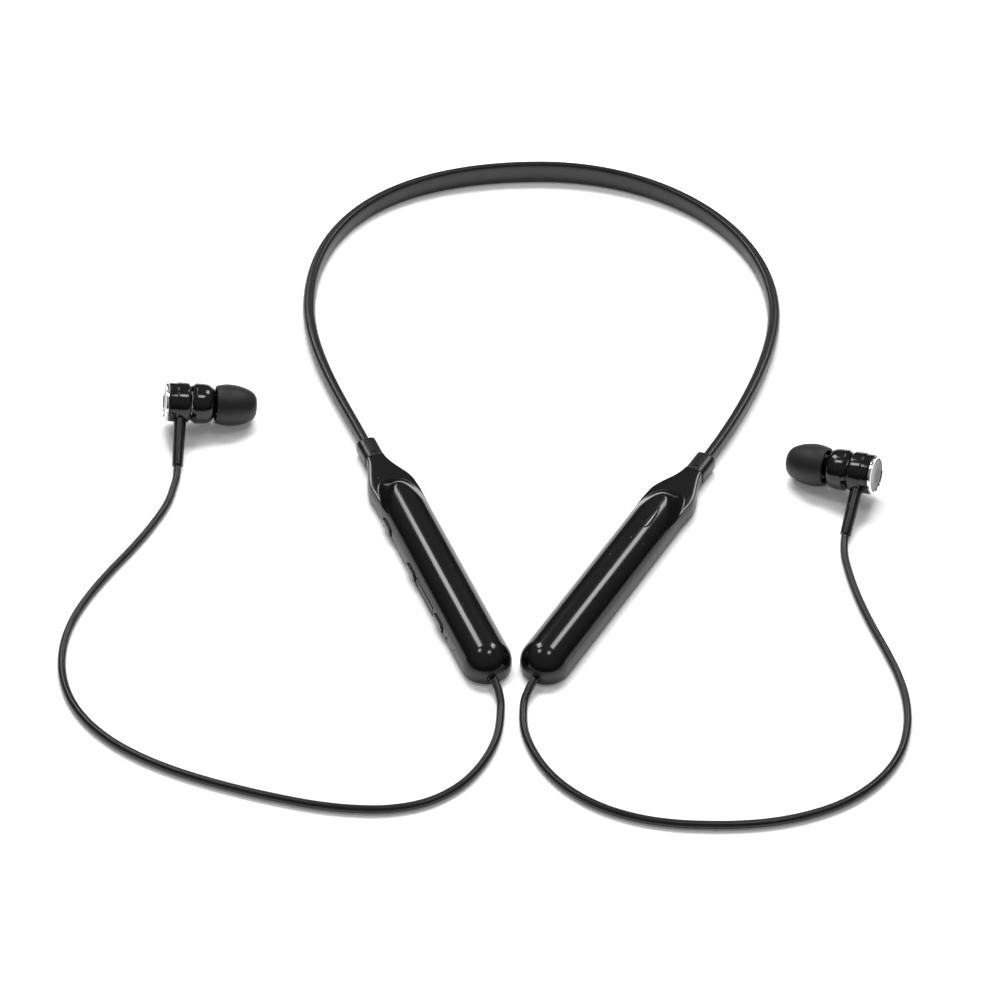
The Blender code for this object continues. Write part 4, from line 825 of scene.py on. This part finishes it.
# ================================================ earbuds
# Each bud is a pair of gloss black housings snapped together at a V groove, with a plated ring
# and a dished disc on its back, a long strain relief at its side and a silicone ear tip.
BUD_RING_CENTRE = {"left": (-0.0920, -0.0059, 0.0090), "right": (0.0913, -0.0333, 0.0090)}
BUD_TIP_END = {"left": (-0.0686, -0.0030, 0.0045), "right": (0.0702, -0.0234, 0.0045)}
BUD_CORD_END = {"left": (-0.0879, -0.0222, 0.0015), "right": (0.0828, -0.0471, 0.0015)}
BUD_RADIUS, RIM_RADIUS, RIM_END, BUD_WALL = 0.0053, 0.0051, 0.0030, 0.0008
REAR_END, FRONT_START, FRONT_END = 0.0067, 0.0070, 0.0130
NOZZLE_RADIUS, NOZZLE_BORE, NOZZLE_END = 0.0022, 0.0015, 0.0195
RING_THICKNESS, RING_WIDTH, DISC_RECESS = 0.0007, 0.0008, 0.0003
STRAIN_STATION, STRAIN_RADIUS, STRAIN_END_RADIUS, STRAIN_BORE = 0.0043, 0.00165, 0.0014, 0.0006
TIP_START, TIP_LENGTH, TIP_RADIUS, TIP_BORE, TIP_SKIRT = 0.0133, 0.0108, 0.0055, 0.00175, 0.0006
BUD_SIDES, STRAIN_SIDES, DISH_STEPS = 120, 48, 24
STRAIN_HOLE_GAP, STRAIN_HOLE_DEPTH = 0.0001, 0.0012
DISH_DEPTH = 0.00028

bud_black = moulded_black("bud_black", (0.003, 0.003, 0.0035), 0.09, 0.15, (1800.0, 0.05),
                          dust=0.80)
tip_silicone = moulded_black("tip_silicone", (0.0055, 0.0055, 0.006), 0.50, 0.60, (2200.0, 0.3),
                             dust=0.76)


def plated_metal(name, colour, clean, touched):
    """A plated or polished metal with the same handled sheen as the plastics."""
    material, tree, shader = new_material(name, Base_Color=(*colour, 1.0), Metallic=1.0)
    sheen = tree.nodes.new("ShaderNodeGroup")
    sheen.node_tree = HANDLED_SHEEN
    sheen.inputs["Clean"].default_value = clean
    sheen.inputs["Touched"].default_value = touched
    tree.links.new(sheen.outputs["Roughness"], shader.inputs["Roughness"])
    return material


bright_plating = plated_metal("bright_plating", (0.86, 0.86, 0.87), 0.08, 0.14)


def bud_axes(side):
    """A bud's frame: its ring's middle, and the directions of the cord's exit, across and axis."""
    ring = np.array(BUD_RING_CENTRE[side])
    axis = np.array(BUD_TIP_END[side]) - ring
    axis /= np.linalg.norm(axis)
    leave = np.array(BUD_CORD_END[side]) - (ring + axis * STRAIN_STATION)
    leave -= axis * (leave @ axis)
    leave /= np.linalg.norm(leave)
    return ring, leave, np.cross(axis, leave), axis


def on_bud(side, rings):
    """Rings of a bud's own frame in the set's frame."""
    ring, leave, across, axis = bud_axes(side)
    return ring + rings[..., :1] * leave + rings[..., 1:2] * across + rings[..., 2:] * axis


def turned_piece(name, side, profile, material, open_ended=False):
    """A piece turned about a bud's axis; open ended profiles start and finish on the axis."""
    return worked_mesh(name, on_bud(side, turned_rings(profile, BUD_SIDES)), material,
                       loop_rows=not open_ended)


def strain_axes(side):
    """Where the strain relief starts, its direction, its length, and two directions across it."""
    ring, leave, across, axis = bud_axes(side)
    station = ring + axis * STRAIN_STATION
    run = np.array(BUD_CORD_END[side]) - station
    length = np.linalg.norm(run)
    run /= length
    start = BUD_RADIUS - BUD_WALL
    beside = np.cross(run, axis)
    beside /= np.linalg.norm(beside)
    return station + run * start, run, length - start, beside, np.cross(run, beside)


def strain_rings(side, profile):
    """A profile of (radius, distance) turned about the strain relief's own line."""
    start, run, length, beside, above = strain_axes(side)
    rings = turned_rings(profile, STRAIN_SIDES)
    return start + rings[..., :1] * beside + rings[..., 1:2] * above + rings[..., 2:] * run


for side in ("left", "right"):
    seat = RING_THICKNESS + FIT
    inner = BUD_RADIUS - BUD_WALL
    rear = turned_piece(side + "_rear_bud_housing", side, filleted([
        (0.0, seat + BUD_WALL), (inner, seat + BUD_WALL), (inner, REAR_END),
        (BUD_RADIUS - 0.0006, REAR_END), (BUD_RADIUS, REAR_END - 0.0007),
        (BUD_RADIUS, RIM_END + 0.0003), (RIM_RADIUS, RIM_END), (RIM_RADIUS, seat), (0.0, seat)],
        (0, 0.0004, 0.0001, 0.0001, 0.0003, 0.00012, 0.0001, 0.0002, 0)), bud_black,
        open_ended=True)
    reach = strain_axes(side)[2]
    carve(rear, worked_mesh("strain_tool", strain_rings(side, [
        (STRAIN_RADIUS + STRAIN_HOLE_GAP, -STRAIN_HOLE_DEPTH),
        (STRAIN_RADIUS + STRAIN_HOLE_GAP, reach)]), None, caps=True))
    front = turned_piece(side + "_front_bud_housing", side, filleted([
        (NOZZLE_BORE, NOZZLE_END), (NOZZLE_RADIUS, NOZZLE_END), (NOZZLE_RADIUS, FRONT_END),
        (BUD_RADIUS - 0.0014, FRONT_END), (BUD_RADIUS - 0.0003, FRONT_END - 0.0012),
        (BUD_RADIUS, FRONT_END - 0.0026), (BUD_RADIUS, FRONT_START + 0.0010),
        (BUD_RADIUS - 0.0007, FRONT_START), (inner, FRONT_START),
        (inner, FRONT_END - 0.0024), (NOZZLE_BORE + 0.0008, FRONT_END - 0.0012),
        (NOZZLE_BORE, FRONT_END - 0.0004)],
        (0.0001, 0.0003, 0.0003, 0.0008, 0.0008, 0.0008, 0.0002, 0.0001, 0, 0, 0, 0)), bud_black)
    ring_inner = RIM_RADIUS - RING_WIDTH
    ring = turned_piece(side + "_plated_ring", side, filleted([
        (ring_inner, RING_THICKNESS), (RIM_RADIUS, RING_THICKNESS), (RIM_RADIUS, 0.0),
        (ring_inner, 0.0)], (0, 0.00005, 0.0003, 0.0003), 8), bright_plating)
    disc_radius = ring_inner - FIT
    dish = np.linspace(0, 1, DISH_STEPS)
    disc = turned_piece(side + "_dished_disc", side, np.column_stack([
        np.concatenate([[0.0], disc_radius * dish[::-1]]),
        np.concatenate([[seat - FIT], DISC_RECESS + DISH_DEPTH * (1 - dish[::-1] ** 2) ** 2])]),
        bud_black, open_ended=True)
    relief = worked_mesh(side + "_tapered_relief", strain_rings(side, filleted([
        (STRAIN_BORE, reach), (STRAIN_END_RADIUS, reach), (STRAIN_RADIUS, 0.0), (STRAIN_BORE, 0.0)],
        (0.00005, 0.00015, 0.0, 0.0))), cord_elastomer, loop_rows=True)
    end, sleeve, skirt = TIP_START + TIP_LENGTH, NOZZLE_RADIUS + FIT, TIP_SKIRT
    tip = turned_piece(side + "_soft_ear_tip", side, filleted([
        (TIP_BORE, end), (0.0026, end - 0.0001), (0.0038, end - 0.0010), (0.0049, end - 0.0034),
        (TIP_RADIUS, TIP_START + 0.0043), (TIP_RADIUS - 0.0001, TIP_START + 0.0020),
        (TIP_RADIUS - 0.0006, TIP_START), (TIP_RADIUS - 0.0006 - skirt, TIP_START + 0.0002),
        (TIP_RADIUS - skirt, TIP_START + 0.0040), (0.0040, end - 0.0040),
        (sleeve + skirt, end - 0.0036), (sleeve + skirt, TIP_START + 0.0007),
        (sleeve, TIP_START + 0.0007), (sleeve, NOZZLE_END + FIT), (TIP_BORE, NOZZLE_END + FIT)],
        (0.0003, 0.0012, 0.0012, 0.0015, 0.0015, 0.0012, 0.0003, 0.0003, 0.001, 0.0006, 0.0004,
         0.0001, 0.0001, 0, 0), 7), tip_silicone)
    for piece, body, node, finish in ((rear, "neckband", "_rear_housing", "button_plastic"),
                                      (front, "neckband", "_front_housing", "button_plastic"),
                                      (ring, "neckband", "_trim_ring", "polished_ring"),
                                      (disc, "neckband", "_back_disc", "gloss_shell"),
                                      (relief, "neckband", "_strain_relief", "cord_sheath"),
                                      (tip, side + "_tip", "_ear_tip", "tip_silicone")):
        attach(piece, body)
        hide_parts(side + node)


# ================================================ pieces inside
# What the shells hide keeps its plain shape: boards, chips, cell, motor, switches, drivers, loom
# and spring wire. Each gets the finish of the real part.
def patterned(name, first, second, scale, roughness, metallic=0.0, kind="ShaderNodeTexVoronoi"):
    """A plain finish of two colours that a fine cell or noise pattern shares out."""
    material, tree, shader = new_material(name, Roughness=roughness, Metallic=metallic)
    place = tree.nodes.new("ShaderNodeTexCoord")
    pattern = add_node(tree, kind, [("Vector", place.outputs["Object"])], Scale=scale)
    ramp = tree.nodes.new("ShaderNodeValToRGB")
    for stop, colour, position in zip(ramp.color_ramp.elements, (first, second), (0.35, 0.65)):
        stop.color, stop.position = (*colour, 1.0), position
    tree.links.new(pattern.outputs[0], ramp.inputs["Fac"])
    tree.links.new(ramp.outputs["Color"], shader.inputs["Base Color"])
    return material


NOISE = "ShaderNodeTexNoise"
INNER_FINISHES = (
    (plated_metal("drawn_steel", (0.55, 0.56, 0.58), 0.25, 0.35),
     ("spring_wire", "left_driver", "right_driver", "vibration_motor")),
    (plated_metal("stamped_tin", (0.62, 0.62, 0.60), 0.30, 0.42),
     ("tact_switch_volume_up", "tact_switch_multifunction", "tact_switch_volume_down",
      "charging_socket", "microphone")),
    (patterned("solder_mask", (0.012, 0.07, 0.028), (0.03, 0.14, 0.055), 900.0, 0.45),
     ("main_board", "protection_board")),
    (patterned("chip_resin_black", (0.016, 0.016, 0.017), (0.03, 0.03, 0.032), 4000.0, 0.5,
               kind=NOISE),
     ("radio_chip", "charge_chip", "switch_plunger_volume_up", "switch_plunger_multifunction",
      "switch_plunger_volume_down")),
    (patterned("pouch_foil", (0.42, 0.43, 0.45), (0.5, 0.51, 0.53), 500.0, 0.3, 0.6, kind=NOISE),
     ("battery_cell",)),
    (patterned("closed_cell_foam", (0.03, 0.03, 0.033), (0.07, 0.07, 0.075), 3000.0, 0.9),
     ("battery_foam", "antenna")),
    (cord_elastomer, ("link_harness",)),
    (smoked_acrylic, ("light_pipe", "status_led")),
    (patterned("woven_mesh", (0.02, 0.02, 0.02), (0.5, 0.5, 0.52), 3500.0, 0.35, 1.0),
     ("left_nozzle_mesh", "right_nozzle_mesh")))
for finish, nodes in INNER_FINISHES:
    for node in nodes:
        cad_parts[node].data.materials.clear()
        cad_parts[node].data.materials.append(finish)
